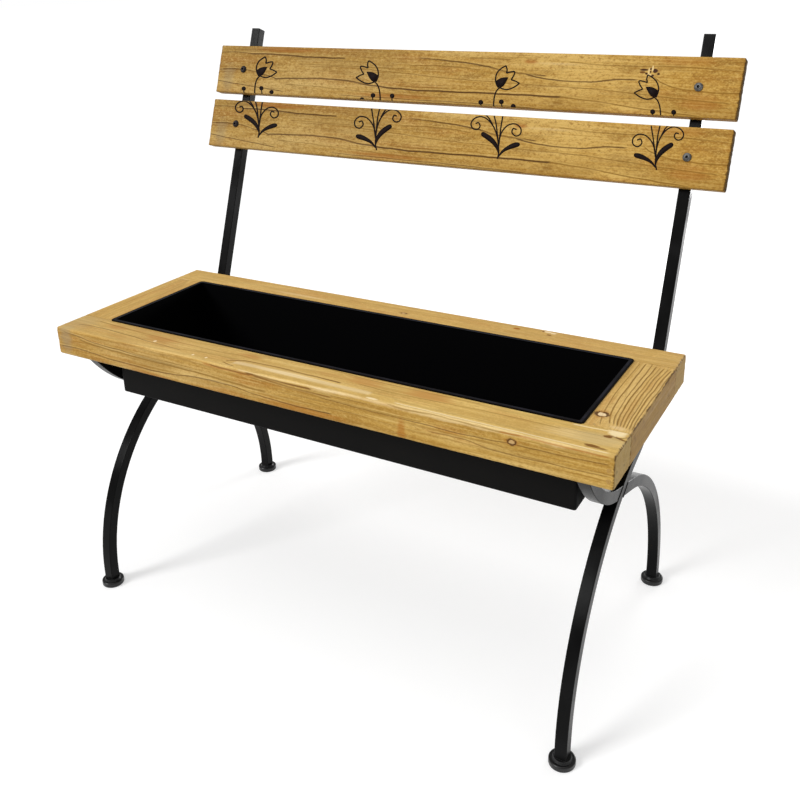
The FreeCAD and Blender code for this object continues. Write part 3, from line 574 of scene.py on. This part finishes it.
def add_mesh(name, places, faces, material):
    """A smooth piece of the bench's body."""
    mesh = bpy.data.meshes.new(name)
    mesh.from_pydata(places, [], faces)
    mesh.update()
    for polygon in mesh.polygons:
        polygon.use_smooth = True
    mesh.materials.append(material)
    piece = bpy.data.objects.new(name, mesh)
    bpy.context.scene.collection.objects.link(piece)
    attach(piece, "bench")
    return piece


def seat_board(node, along, tight):
    """A board of the seat, with its grain along x or y and its face up."""
    low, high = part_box(node)
    half = (Vector(high) - Vector(low)) / 2
    x, y, z = Vector((1, 0, 0)), Vector((0, 1, 0)), Vector((0, 0, 1))
    if along == "x":
        return Board(node, x, y, z, half, BOARD_RADIUS, tight)
    return Board(node, y, -x, z, Vector((half.y, half.x, half.z)), BOARD_RADIUS, tight)


def back_slat(node):
    low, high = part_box(node)
    up = Vector((0, math.sin(BACK_TILT), math.cos(BACK_TILT)))
    outward = Vector((0, -math.cos(BACK_TILT), math.sin(BACK_TILT)))
    half = Vector(((high[0] - low[0]) / 2, SLAT_HALF_HEIGHT, SLAT_HALF_THICKNESS))
    return Board(node, Vector((1, 0, 0)), up, outward, half, SLAT_RADIUS)


FRONT = seat_board("seat_front_board", "x", ((1, 1),))
REAR = seat_board("seat_rear_board", "x", ((1, -1),))
LEFT = seat_board("seat_left_board", "y", ((0, -1), (0, 1)))
RIGHT_SIDE = seat_board("seat_right_board", "y", ((0, -1), (0, 1)))
UPPER = back_slat("upper_slat")
LOWER = back_slat("lower_slat")

# Marks in the wood, placed by pixels of the photograph. A line is (face's axis, half width in mm, strength, colour,
# pixels), a patch (face's axis, pixel, reaches in mm along and across the grain, strength, colour), a knot (face's
# axis, pixel, the same reaches, strength of its pale heart), and a spot (pixel, the same reaches, colour).
SLAT_LINES = (
    (2, 1.9, 0.95, DARK, ((275, 79), (300, 78.5), (330, 79), (375, 86), (400, 89), (480, 93), (560, 97))),
    (2, 1.3, 0.85, DARK, ((220, 69), (240, 69), (262, 74), (276, 79))),
    (2, 1.3, 0.8, OLIVE, ((560, 97), (605, 103), (650, 110), (700, 117))),
    (2, 1.8, 0.95, DARK, ((251, 53.5), (275, 54.5), (310, 57), (345, 58.5))),
    (2, 1, 0.6, DARK, ((218, 52.5), (235, 52), (252, 53.5))),
    (2, 1.1, 0.7, DARK, ((216, 80), (240, 84), (262, 88), (282, 91))),
    (2, 1.7, 0.8, DARK, ((420, 58), (450, 61), (485, 66), (510, 72), (545, 76))),
    (2, 1.8, 0.7, OLIVE, ((470, 58), (495, 59), (510, 60))),
    (2, 1.5, 0.7, OLIVE, ((410, 66), (440, 66), (480, 70))),
    (2, 1.5, 0.85, DARK, ((527, 75), (581, 82), (625, 79.5), (636, 80))),
    (2, 1.4, 0.85, OLIVE, ((656, 79), (664, 84), (680, 89), (705, 92), (742, 94))),
    (2, 1.2, 0.6, OLIVE, ((570, 62), (620, 66), (680, 67), (742, 72))),
    (2, 1.2, 0.6, OLIVE, ((330, 66), (400, 73), (455, 79), (520, 84), (600, 90), (680, 99), (730, 104))),
    (2, 1, 0.6, DARK, ((340, 95), (400, 99), (470, 103), (520, 107), (560, 112))),
    (2, 1.2, 0.5, OLIVE, ((300, 64), (360, 67), (420, 70))),
    (2, 1.2, 0.5, OLIVE, ((285, 84), (330, 88), (390, 94), (450, 98))),
)
SLAT_PATCHES = (
    (2, (285, 50), 80, 5, 0.7, ORANGE), (2, (395, 97), 90, 7, 0.6, ORANGE), (2, (531, 62), 16, 5, 0.7, ORANGE),
    (2, (430, 80), 60, 12, 0.3, PALE), (2, (600, 92), 70, 12, 0.1, PALE), (2, (228, 80), 16, 30, 0.5, DULL),
    (2, (560, 64), 60, 3, 0.35, CHIP), (2, (700, 103), 34, 16, 0.45, ORANGE), (2, (505, 112), 60, 5, 0.5, ORANGE),
    (2, (690, 62), 50, 8, 0.35, ORANGE),
)
FRONT_LINES = (
    (1, 1.3, 0.7, DARK, ((60.7, 345), (73, 347.5), (94.6, 353.6), (112.5, 359.8), (135.7, 366), (157, 371.4),
                         (203.6, 379), (225.5, 384.5), (251, 393), (291, 405), (330, 414))),
    (1, 1.1, 0.6, DARK, ((64, 331.5), (78, 336.5), (94.6, 343), (121.4, 351), (150, 359.5), (192.9, 370))),
    (1, 1.8, 0.8, OLIVE, ((80, 340), (110, 350), (150, 361), (190, 371), (235, 384), (265, 392))),
    (1, 3, 0.55, ORANGE, ((203, 362.8), (216, 367), (235, 371.6), (252, 376))),
    (1, 1.5, 0.7, BROWN, ((210, 364.6), (222, 368.4), (238, 372.6), (249, 375.4))),
    (1, 3.2, 0.5, CHIP, ((238, 369.4), (262, 375), (300, 383.6), (345, 394))),
    (1, 2, 0.95, BROWN, ((246, 373.6), (256, 376.2), (273, 380.4), (290, 384.6), (310, 389.5))),
    (1, 2, 0.7, BROWN, ((254, 376.8), (266, 380.4), (278, 384), (300, 390.5), (330, 397.5))),
    (1, 1.1, 0.6, DARK, ((320, 397.7), (358.9, 408.4), (397.8, 418), (428.9, 425.9), (475.6, 437.5), (514.5, 445),
                         (553.4, 454), (607.9, 465))),
    (1, 1.6, 0.7, OLIVE, ((384.2, 402.5), (407.5, 410.3), (436.7, 416), (475, 426), (520, 437))),
    (1, 1.1, 0.45, DARK, ((429, 431.7), (456, 437.5), (495, 451), (553.4, 464.8), (607.9, 476.4))),
    (1, 1.4, 0.6, OLIVE, ((250, 378), (300, 392), (350, 405), (420, 422))),
    (1, 1.4, 0.6, OLIVE, ((540, 446), (570, 453), (610, 462))),
    (2, 1.2, 0.6, DARK, ((76.8, 324.5), (94.6, 326.5), (121.4, 333), (150, 341.5), (180, 349.5))),
    (2, 1.4, 0.7, OLIVE, ((100, 321), (140, 332), (180, 342), (219, 351.4), (238, 354.8), (250, 357.5))),
    (2, 1.3, 0.6, OLIVE, ((196, 350.6), (212, 354), (238, 359), (262, 363))),
    (2, 7, 0.5, CHIP, ((232, 362.6), (250, 365), (270, 370), (300, 376.8), (330, 384), (370, 393.5))),
    (2, 2.2, 0.95, BROWN, ((223.3, 361.8), (227.4, 360.7), (240.8, 360.4), (251, 361.6), (263.8, 364.2), (283, 368.4),
                           (310, 375), (340, 382.6))),
    (2, 1.6, 0.85, BROWN, ((223.3, 361.8), (226, 363), (229, 364.4), (233, 365.6))),
    (2, 1.4, 0.6, OLIVE, ((360, 384), (400, 394), (450, 404), (500, 414), (560, 428))),
    (2, 1.4, 0.6, OLIVE, ((330, 369), (380, 382), (430, 393), (480, 404))),
    # A pale line along the front top edge: worn wood and a painted highlight.
    (2, 2.2, 0.75, CHIP, ((395, 402.6), (450, 415.7), (500, 427.5), (550, 439.3), (608, 453))),
    (1, 1.4, 0.6, ORANGE, ((500, 432), (540, 441.5), (580, 451), (608, 458))),
    (2, 2, 0.8, CHIP, ((574, 424), (585, 426.2), (597, 428.6), (609, 431))),
    (2, 2.6, 0.95, BROWN, ((606, 436.3), (611.5, 435.8), (618.7, 438.4), (625, 441.2))),
    (2, 1.2, 0.8, DARK, ((617, 438.2), (622, 438.3), (628, 437.6))),
    (2, 3.2, 0.9, BROWN, ((587, 445.2), (593, 446.2), (600, 448.2), (606, 449.8))),
)
FRONT_PATCHES = (
    (2, (160, 339), 34, 12, 1, ORANGE), (2, (118, 327), 26, 10, 0.9, ORANGE), (2, (252, 356), 26, 7, 1, ORANGE),
    (2, (290, 374), 62, 6, 0.85, CHIP), (2, (366, 382), 34, 12, 0.9, ORANGE), (2, (430, 396), 42, 14, 1, ORANGE),
    (2, (585, 436), 60, 14, 0.5, CHIP), (2, (101, 316.5), 18, 4, 0.85, CHIP), (2, (600, 438), 34, 20, 0.6, DULL),
    (2, (80, 322), 42, 30, 0.55, DULL), (2, (140, 331), 22, 5, 0.5, ORANGE), (2, (186, 344), 18, 4, 0.5, ORANGE),
    (2, (330, 374), 40, 6, 0.5, ORANGE), (2, (200, 346), 40, 5, 0.4, PALE), (1, (66, 338), 14, 30, 0.75, DULL),
    (1, (401, 428), 7, 18, 0.7, ORANGE), (1, (300, 410), 60, 9, 0.55, ORANGE), (1, (150, 375), 60, 6, 0.6, ORANGE),
    (1, (150, 363), 55, 16, 0.35, OLIVE), (1, (470, 460), 90, 8, 0.6, ORANGE), (1, (510, 452), 60, 12, 0.25, OLIVE),
    (1, (378, 397.7), 5, 3, 0.7, CHIP), (1, (595, 425), 3, 2, 0.7, DARK),
)
FRONT_SPOTS = (
    ((618.5, 432.5), 11, 12, CHIP), ((608, 436.6), 6, 3, BROWN), ((592, 445.4), 9, 3, BROWN),
    ((155, 341), 2.5, 3, CHIP), ((193, 354.5), 2, 2.5, CHIP), ((206, 357.5), 2, 2.5, CHIP),
    ((372, 398.4), 9, 2.5, CHIP), ((100, 316), 7, 3, CHIP), ((93, 312.5), 4, 2, CHIP),
)
FRONT_KNOTS = ((1, (511.6, 442.4), 5.5, 4, 0.3),)
RIGHT_LINES = tuple((2, width, strength, OLIVE, line) for width, strength, line in (
    (1.5, 0.9, ((610, 423), (611, 414), (613, 408), (618, 400), (625, 391), (636, 377), (646, 364))),
    (1.2, 0.8, ((614, 424), (617, 413), (624, 402), (634, 388), (644, 376), (652, 365))),
    (1.5, 0.95, ((617, 425), (621, 414), (629, 401), (638, 389), (648, 377), (656, 367))),
    (1.2, 0.8, ((620, 426), (625, 415), (634, 401), (644, 387), (654, 375), (660, 368))),
    (1.5, 0.95, ((623, 427), (628, 417), (638, 401), (648, 387), (658, 375), (664, 369))),
    (1.2, 0.85, ((626, 428), (632, 417), (642, 402), (652, 388), (662, 376), (668, 370))),
    (1.4, 0.9, ((629, 429), (635, 418), (646, 401), (656, 388), (666, 376), (671, 371))),
    (1.2, 0.8, ((632, 430), (640, 416), (650, 402), (660, 389), (669, 377), (674, 372))),
    (1.2, 0.7, ((600, 424), (606, 408), (613, 397), (622, 385), (632, 373), (640, 364))),
))
RIGHT_PATCHES = (
    (2, (618, 428), 6, 14, 0.6, CHIP), (2, (594.5, 424), 3, 2, 0.8, DARK), (2, (612, 400), 14, 6, 0.4, ORANGE),
)
RIGHT_KNOTS = ((2, (602.2, 413.9), 6.5, 8, 1.0),)
REAR_KNOTS = ((2, (404, 313), 5, 3, 0.3),)
REAR_SPOTS = (
    ((548, 332), 6, 3, CHIP), ((553.5, 333.6), 4, 2.6, CHIP), ((549, 335), 4, 2, BROWN), ((543.5, 331.4), 2, 2, BROWN),
    ((517, 328.6), 6, 3, ORANGE),
)
SLAT_SPOTS = (
    ((644.5, 69.8), 7, 1.6, KNOT), ((642.5, 72.2), 4.5, 1.8, BROWN), ((646.5, 73.5), 2.2, 1.6, KNOT),
    ((655.2, 71), 3.6, 3.2, KNOT), ((652.6, 75.6), 2, 1.6, KNOT), ((658.5, 74), 2.2, 1.6, KNOT),
    ((651, 69), 1.6, 1.8, KNOT), ((650.6, 71.8), 1.3, 1.6, KNOT), ((648.8, 71.8), 1.2, 7, CHIP),
    ((652.8, 68.6), 1.4, 4.2, CHIP), ((649.8, 74.8), 2, 1.6, CHIP),
)
REAR_PATCHES = (
    (2, (184, 279.5), 18, 5, 0.8, CHIP), (2, (553, 333), 8, 3, 0.7, CHIP), (2, (300, 295), 60, 5, 0.5, CHIP),
)


class Looks:
    """How one board looks: its log's rings, its tints from one end to the other, its ends, and the marks on it."""

    def __init__(self, seed, pith, spacing, rings, end, tints=(WHITE, WHITE), lines=(), patches=(), knots=(),
                 spots=(), band=None, side=None, ground=(0.5, 0.5, 0.55), grain=0.6, painted_top_light=0.36):
        self.seed, self.pith, self.spacing, self.rings, self.end, self.tints = seed, pith, spacing, rings, end, tints
        self.lines, self.patches, self.knots, self.spots = lines, patches, knots, spots
        self.band, self.side, self.ground, self.grain, self.painted_top_light = band, side, ground, grain, painted_top_light


def boards_with_looks():
    slats = Looks(seed=SLAT_SEED, pith=(0.02, -0.22), spacing=0.016, rings=0.35, end=(DARK_END, 0.7),
                  tints=((0.77, 0.77, 0.75, 1), (0.85, 0.81, 0.63, 1)), lines=SLAT_LINES, patches=SLAT_PATCHES,
                  spots=SLAT_SPOTS, ground=(0.25, 0.7, 0.3), grain=0.4, painted_top_light=0.0)
    front = Looks(seed=7.7, pith=(0.06, -0.09), spacing=0.0075, rings=0.5, end=(GREY_END, 0.8),
                  tints=((1, 1.02, 1.06, 1), (1.06, 1.1, 1.06, 1)), lines=FRONT_LINES, patches=FRONT_PATCHES,
                  knots=FRONT_KNOTS, spots=FRONT_SPOTS, band=(0.4, 0.02, 0.42))
    rear = Looks(seed=11.3, pith=(-0.02, -0.08), spacing=0.008, rings=0.45, end=(GREY_END, 0.7),
                 patches=REAR_PATCHES, knots=REAR_KNOTS, spots=REAR_SPOTS)
    left = Looks(seed=17.9, pith=(0.02, -0.06), spacing=0.007, rings=0.5, end=(HONEY, 0.1))
    right = Looks(seed=23.3, pith=(0.05, -0.05), spacing=0.0055, rings=0.4, end=(HONEY, 0.1), lines=RIGHT_LINES,
                  patches=RIGHT_PATCHES, knots=RIGHT_KNOTS, side=(0.8, 0.8))
    return (UPPER, slats), (LOWER, slats), (FRONT, front), (REAR, rear), (LEFT, left), (RIGHT_SIDE, right)


def pine_for(board, looks, marked):
    """The board's material, with the marks placed as on the board marked. Both slats wear the upper one's."""
    pine = Pine(board, looks.seed)
    knots = [(marked.seen_at(px, face), length * MM, width * MM, heart)
             for face, px, length, width, heart in looks.knots]
    pine.ground(*looks.ground)
    pine.rings(looks.pith, looks.spacing, looks.rings, [(place, width) for place, _, width, _ in knots])
    for face, px, length, width, strength, colour in looks.patches:
        pine.patch(marked.seen_at(px, face), length * MM, width * MM, strength, colour)
    pine.fine_grain(looks.grain)
    # Painted light: the boards' top faces made paler.
    pine.tint_faces(2, looks.painted_top_light, PALE)
    # Painted shade: the boards' side faces darkened towards the deep colour.
    pine.tint_faces(1, PAINTED_SIDE_SHADE, DEEP)
    if looks.band:
        pine.edge_band(*looks.band)
    for face, width, strength, colour, line in looks.lines:
        pine.vein(face, width * MM, strength, colour, [marked.seen_at(px, face) for px in line])
    for knot in knots:
        pine.knot(*knot)
    for px, length, width, colour in looks.spots if board is marked else ():
        pine.spot(board.seen_at(px), length * MM, width * MM, colour)
    if looks.side:
        # Painted shade and a mottle on the side face.
        pine.side_shade_and_mottle(*looks.side)
    pine.ends(*looks.end)
    return pine.done(*looks.tints)


def make_boards():
    for board, looks in boards_with_looks():
        marked = UPPER if board is LOWER else board
        dents = [(board.seen_at(px, face), DENT_REACH * width * MM, DENT_DEPTH)
                 for face, px, _, width, _ in looks.knots]
        worn_board(board, pine_for(board, looks, marked), looks.seed, dents)


# The four flowers on the slats, each as (joint of its leaves in the photograph, width and height of a pixel of the
# drawing). Two are turned over. The drawing is one flower, in pixels from its joint to the right and down.
FLOWERS = (((259, 130), (0.855, 0.868)), ((375.4, 141.6), (-0.93, 0.96)), ((498.6, 150), (1, 1)),
           ((655.4, 160.9), (-1.02, 1.02)))
LINE_PX = 0.68
STALK_PX = 0.8 * LINE_PX
BERRY_PX = 2.5
BERRY_SIDES = 14
STEPS = 6
CURVES = (
    ((-0.4, -62.3), (-2.4, -66.5), (-3.1, -70.4), (-2.3, -75.2), (0, -79.2), (3.4, -82.1), (7.4, -84.4)),
    ((7.4, -84.4), (8.5, -80.4), (7.8, -76.8)),
    ((7.8, -76.8), (11.4, -77.9), (15.2, -78.6), (16.4, -77.6)),
    ((16.4, -77.6), (15, -74.2), (12.5, -70.3)),
    ((12.5, -70.3), (16.5, -69), (20.9, -66.7)),
    ((20.9, -66.7), (18, -64.6), (14.3, -62.3), (8.6, -60.5), (3.2, -61.4), (0.6, -63.2)),
    ((1.2, -62.4), (-1.8, -59.6), (-3.9, -54.6), (-4.9, -48), (-5, -42), (-4.4, -34.5), (-2.4, -25), (-0.9, -12),
     (0, 0)),
    ((0.1, -4), (0.9, -12), (2.2, -22), (3.4, -29.5), (4.2, -34.5)),
    ((-0.1, -4), (-1.6, -14), (-5.2, -23.5), (-11, -30.5), (-17.5, -33.4), (-24, -31.6), (-27.6, -26.6), (-25.8, -21.6),
     (-21.4, -20.6), (-18.6, -23.6), (-20, -27.2), (-23, -26.6)),
    ((0.2, -5), (1.6, -14), (4.8, -20.4), (10.2, -25.2), (17, -26), (22, -21.8), (21.8, -16.2), (17.2, -14),
     (13.4, -17.4), (14.6, -21.4), (18, -20.4)),
    ((-13.6, -36), (-9.4, -31.4), (-6, -25.4)),
    ((0, -2), (0, 3), (-1.2, 8.9)),
)
STALKS = (((-17.9, -47.7), (-17.6, -40.6)), ((2.7, -48.2), (3.6, -40)), ((14.6, -43.7), (14.6, -40)))
LEAVES = (
    (((0.2, 4), (-1.4, -1.6), (-4.6, -7.2), (-9.4, -11.8), (-15.6, -15.8), (-17.4, -16.7)),
     (0.6, 1.4, 2.3, 2.7, 2.3, 0.9)),
    (((-0.2, 6.6), (4.2, 1.2), (10, -2.4), (15.4, -4.6), (19.4, -5.6), (21.2, -5.9)),
     (0.6, 1.3, 2.1, 2.6, 2.2, 0.9)),
)
CUP = (
    (-2.8, -69), (-0.2, -70.9), (2.5, -72.2), (6, -72.8), (9.8, -72.8), (8.3, -69.6), (6.7, -66.4), (4.6, -63.6),
    (2, -62.2), (0, -62.8), (-2, -65.6),
)
# The ink stands this proud of the wood and reaches this deep. A line may pass a slat's edge by the reach, and is
# pressed back to the margin inside it.
INK_RISE = 0.12 * MM
INK_DEPTH = 0.7 * MM
INK_REACH = 1.5 * MM
INK_MARGIN = 1.0 * MM


def through(points):
    """A smooth line through the points, with STEPS steps from one to the next."""
    points = [Vector(point) for point in points]
    if len(points) < 3:
        return [points[0].lerp(points[-1], i / STEPS) for i in range(STEPS + 1)]
    padded = [2 * points[0] - points[1]] + points + [2 * points[-1] - points[-2]]
    line = []
    for a, b, c, d in zip(padded, padded[1:], padded[2:], padded[3:]):
        for i in range(STEPS):
            t = i / STEPS
            line.append(0.5 * (2 * b + (c - a) * t + (2 * a - 5 * b + 4 * c - d) * t * t
                               + (3 * b - a - 3 * c + d) * t ** 3))
    return line + [points[-1]]


class Drawing:
    """The inked lines of both slats, gathered as thin raised strips."""

    def __init__(self):
        self.parts = {slat.node: (slat, [], []) for slat in (UPPER, LOWER)}

    def slat_at(self, px):
        """The slat that shows at a pixel, and the local place on its face, or None between the slats."""
        for slat in (UPPER, LOWER):
            place = slat.seen_at(px)
            if abs(place.y) < slat.half.y + INK_REACH:
                return slat, place
        return None

    def strip(self, line, widths):
        """A strip along the line of pixels, broken where it leaves a slat."""
        run, held = [], None
        for i, point in enumerate(line):
            before, after = line[max(i - 1, 0)], line[min(i + 1, len(line) - 1)]
            side = Vector((before.y - after.y, after.x - before.x)).normalized() * widths[i]
            found = self.slat_at(point)
            slat = found[0] if found else None
            if slat is not held:
                self.close(held, run)
                run, held = [], slat
            if slat:
                run.append((slat.seen_at(point + side), slat.seen_at(point - side)))
        self.close(held, run)

    def close(self, slat, run):
        """Adds a run of pairs of places, left and right of its line, as a closed strip."""
        if slat is None or len(run) < 2:
            return
        places, faces = self.parts[slat.node][1:]
        start = len(places)
        for pair in run:
            for place in pair:
                self.add(slat, places, place)
        for i in range(len(run) - 1):
            a = start + 4 * i
            b = a + 4
            faces.extend(((a, a + 2, b + 2, b), (a + 1, b + 1, b + 3, a + 3), (a, b, b + 1, a + 1),
                          (a + 2, a + 3, b + 3, b + 2)))
        last = start + 4 * (len(run) - 1)
        faces.extend(((start, start + 1, start + 3, start + 2), (last, last + 2, last + 3, last + 1)))

    def add(self, slat, places, place):
        """Adds the two vertices over and under the slat's worn face at a place."""
        reach = slat.half.y - INK_MARGIN
        across = max(-reach, min(reach, place.y))
        top = slat.half.z - relief(slat, (place.x, across, slat.half.z), SLAT_SEED, 0.0, ())
        places.append(slat.place((place.x, across, top + INK_RISE)))
        places.append(slat.place((place.x, across, top - INK_DEPTH)))

    def patch(self, outline):
        """A filled patch inside the outline of pixels, where one slat shows all of it."""
        shown = [point for point in outline if self.slat_at(point)]
        if len(shown) < 3:
            return
        slat = self.slat_at(shown[0])[0]
        places, faces = self.parts[slat.node][1:]
        start, count = len(places), len(shown)
        for point in shown:
            self.add(slat, places, slat.seen_at(point))
        centre = sum((slat.seen_at(point) for point in shown), Vector()) / count
        self.add(slat, places, centre)
        middle = start + 2 * count
        for i in range(count):
            a, b = start + 2 * i, start + 2 * ((i + 1) % count)
            faces.extend(((a, b, middle), (b + 1, a + 1, middle + 1), (a, a + 1, b + 1, b)))

    def build(self, material):
        for slat, places, faces in self.parts.values():
            piece = add_mesh(slat.node + "_flowers", places, faces, material)


def draw_flower(drawing, joint, across, down):
    def pixel(point):
        return Vector((joint[0] + across * point[0], joint[1] + down * point[1]))

    for curve in CURVES:
        line = through([pixel(point) for point in curve])
        drawing.strip(line, [LINE_PX] * len(line))
    for berry, foot in STALKS:
        centre = pixel(berry)
        turns = (math.tau * i / BERRY_SIDES for i in range(BERRY_SIDES))
        drawing.patch([centre + BERRY_PX * down * Vector((math.cos(turn), math.sin(turn))) for turn in turns])
        line = through([centre, pixel(foot)])
        drawing.strip(line, [STALK_PX] * len(line))
    for points, widths in LEAVES:
        line = through([pixel(point) for point in points])
        drawing.strip(line, [down * width.x for width in through([Vector((width, 0)) for width in widths])])
    drawing.patch([pixel(point) for point in CUP])


def draw_flowers(material):
    drawing = Drawing()
    for joint, (across, down) in FLOWERS:
        draw_flower(drawing, joint, across, down)
    drawing.build(material)


def white_floor():
    """A floor that camera and mirroring rays see as white with the bench's shadow, and other rays as plain pale."""
    n = Nodes("studio_floor")
    ray = n.node("LightPath").outputs
    seen = n.math("MAXIMUM", n.math("MAXIMUM", ray["Is Camera Ray"], ray["Is Glossy Ray"]), ray["Is Transmission Ray"])
    lit = n.node("BsdfDiffuse", {"Color": grey(FLOOR_LIT)})
    plain = n.node("BsdfDiffuse", {"Color": grey(FLOOR_BOUNCE)})
    glow = n.node("Emission", {"Color": WHITE, "Strength": FLOOR_GLOW})
    shown = n.node("AddShader", {0: lit.outputs[0], 1: glow.outputs[0]})
    both = n.node("MixShader", {0: seen, 1: plain.outputs[0], 2: shown.outputs[0]})
    n.node("OutputMaterial", {"Surface": both.outputs[0]})
    mesh = bpy.data.meshes.new("floor")
    corners = [(x * FLOOR_REACH, y * FLOOR_REACH, 0) for x, y in ((-1, -1), (1, -1), (1, 1), (-1, 1))]
    mesh.from_pydata(corners, [], [(0, 1, 2, 3)])
    mesh.materials.append(n.material)
    floor = bpy.data.objects.new("floor", mesh)
    bpy.context.scene.collection.objects.link(floor)


def white_world():
    """A white background for the camera, and an even light for everything else."""
    world = bpy.data.worlds.new("studio")
    bpy.context.scene.world = world
    world.use_nodes = True
    tree = world.node_tree
    tree.nodes.clear()
    mix = tree.nodes.new("ShaderNodeMixShader")
    tree.links.new(tree.nodes.new("ShaderNodeLightPath").outputs["Is Camera Ray"], mix.inputs[0])
    for place, strength in ((1, WORLD_LIGHT), (2, 1.0)):
        light = tree.nodes.new("ShaderNodeBackground")
        light.inputs["Color"].default_value = WHITE
        light.inputs["Strength"].default_value = strength
        tree.links.new(light.outputs[0], mix.inputs[place])
    tree.links.new(mix.outputs[0], tree.nodes.new("ShaderNodeOutputWorld").inputs["Surface"])


def lamp(name, kind, place, **settings):
    """A lamp at a place, aimed at the middle of the bench."""
    light = bpy.data.lights.new(name, kind)
    for key, value in settings.items():
        setattr(light, key, value)
    holder = bpy.data.objects.new(name, light)
    bpy.context.scene.collection.objects.link(holder)
    holder.location = place
    holder.rotation_euler = (LAMP_AIM - Vector(place)).to_track_quat("-Z", "Y").to_euler()


def photo_camera():
    camera = bpy.data.cameras.new("photo")
    camera.sensor_width = SENSOR_MM
    camera.lens = SENSOR_MM * FOCAL_PX / PHOTO_PX
    camera.shift_x = (PHOTO_PX / 2 - CENTRE_PX[0]) / PHOTO_PX
    camera.shift_y = (CENTRE_PX[1] - PHOTO_PX / 2) / PHOTO_PX
    holder = bpy.data.objects.new("photo", camera)
    bpy.context.scene.collection.objects.link(holder)
    rows = [(RIGHT[i], UP[i], BACK[i], CAMERA_AT[i]) for i in range(3)]
    holder.matrix_world = Matrix((*rows, (0, 0, 0, 1)))
    bpy.context.scene.camera = holder


def build_studio():
    photo_camera()
    white_world()
    white_floor()
    lamp("key", "SUN", (-1.45, -2.3, 2.1), energy=2.0, angle=0.34)
    lamp("top", "SUN", (-0.2, -0.6, 4.0), energy=0.9, angle=1.0)
    lamp("edge", "AREA", (0.75, 2.6, 0.6), shape="DISK", size=1.0, energy=28)
    bpy.context.scene.view_settings.view_transform = "Standard"


FRAME_ENDINGS = ("main_bar", "seat_arm", "rear_leg", "weld", "tab", "tab_screws")
FRAME_NODES = [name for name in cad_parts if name.endswith(FRAME_ENDINGS)]
FOOT_NODES = [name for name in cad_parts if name.endswith("foot")]
STEEL_NODES = [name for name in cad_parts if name.startswith("slat_")]


def finish_nodes(names, material):
    """Puts the material on CAD nodes that keep their own meshes."""
    for name in names:
        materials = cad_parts[name].data.materials
        if not materials:
            materials.append(material)
        for i in range(len(materials)):
            materials[i] = material


build_studio()
make_boards()
draw_flowers(ink("burnt_line"))
finish_nodes(FRAME_NODES, painted_steel("frame_black", linear(11, 11, 11), roughness=0.24, grain_mm=1.4, shine=0.07))
finish_nodes(FOOT_NODES, painted_steel("foot_black", linear(12, 12, 12), roughness=0.28, grain_mm=2.2, shine=0.4))
finish_nodes(["planter_trough"], trough_paint("trough_black"))
finish_nodes(STEEL_NODES, bare_steel("plated_steel", linear(112, 113, 112), linear(62, 61, 60), metallic=0.4,
                                     depth=0.95, left_colour=linear(26, 16, 18)))
finish_nodes(["seat_screws"], bare_steel("stained_steel", linear(186, 148, 82), linear(168, 128, 66), metallic=0.0,
                                         depth=0.25))
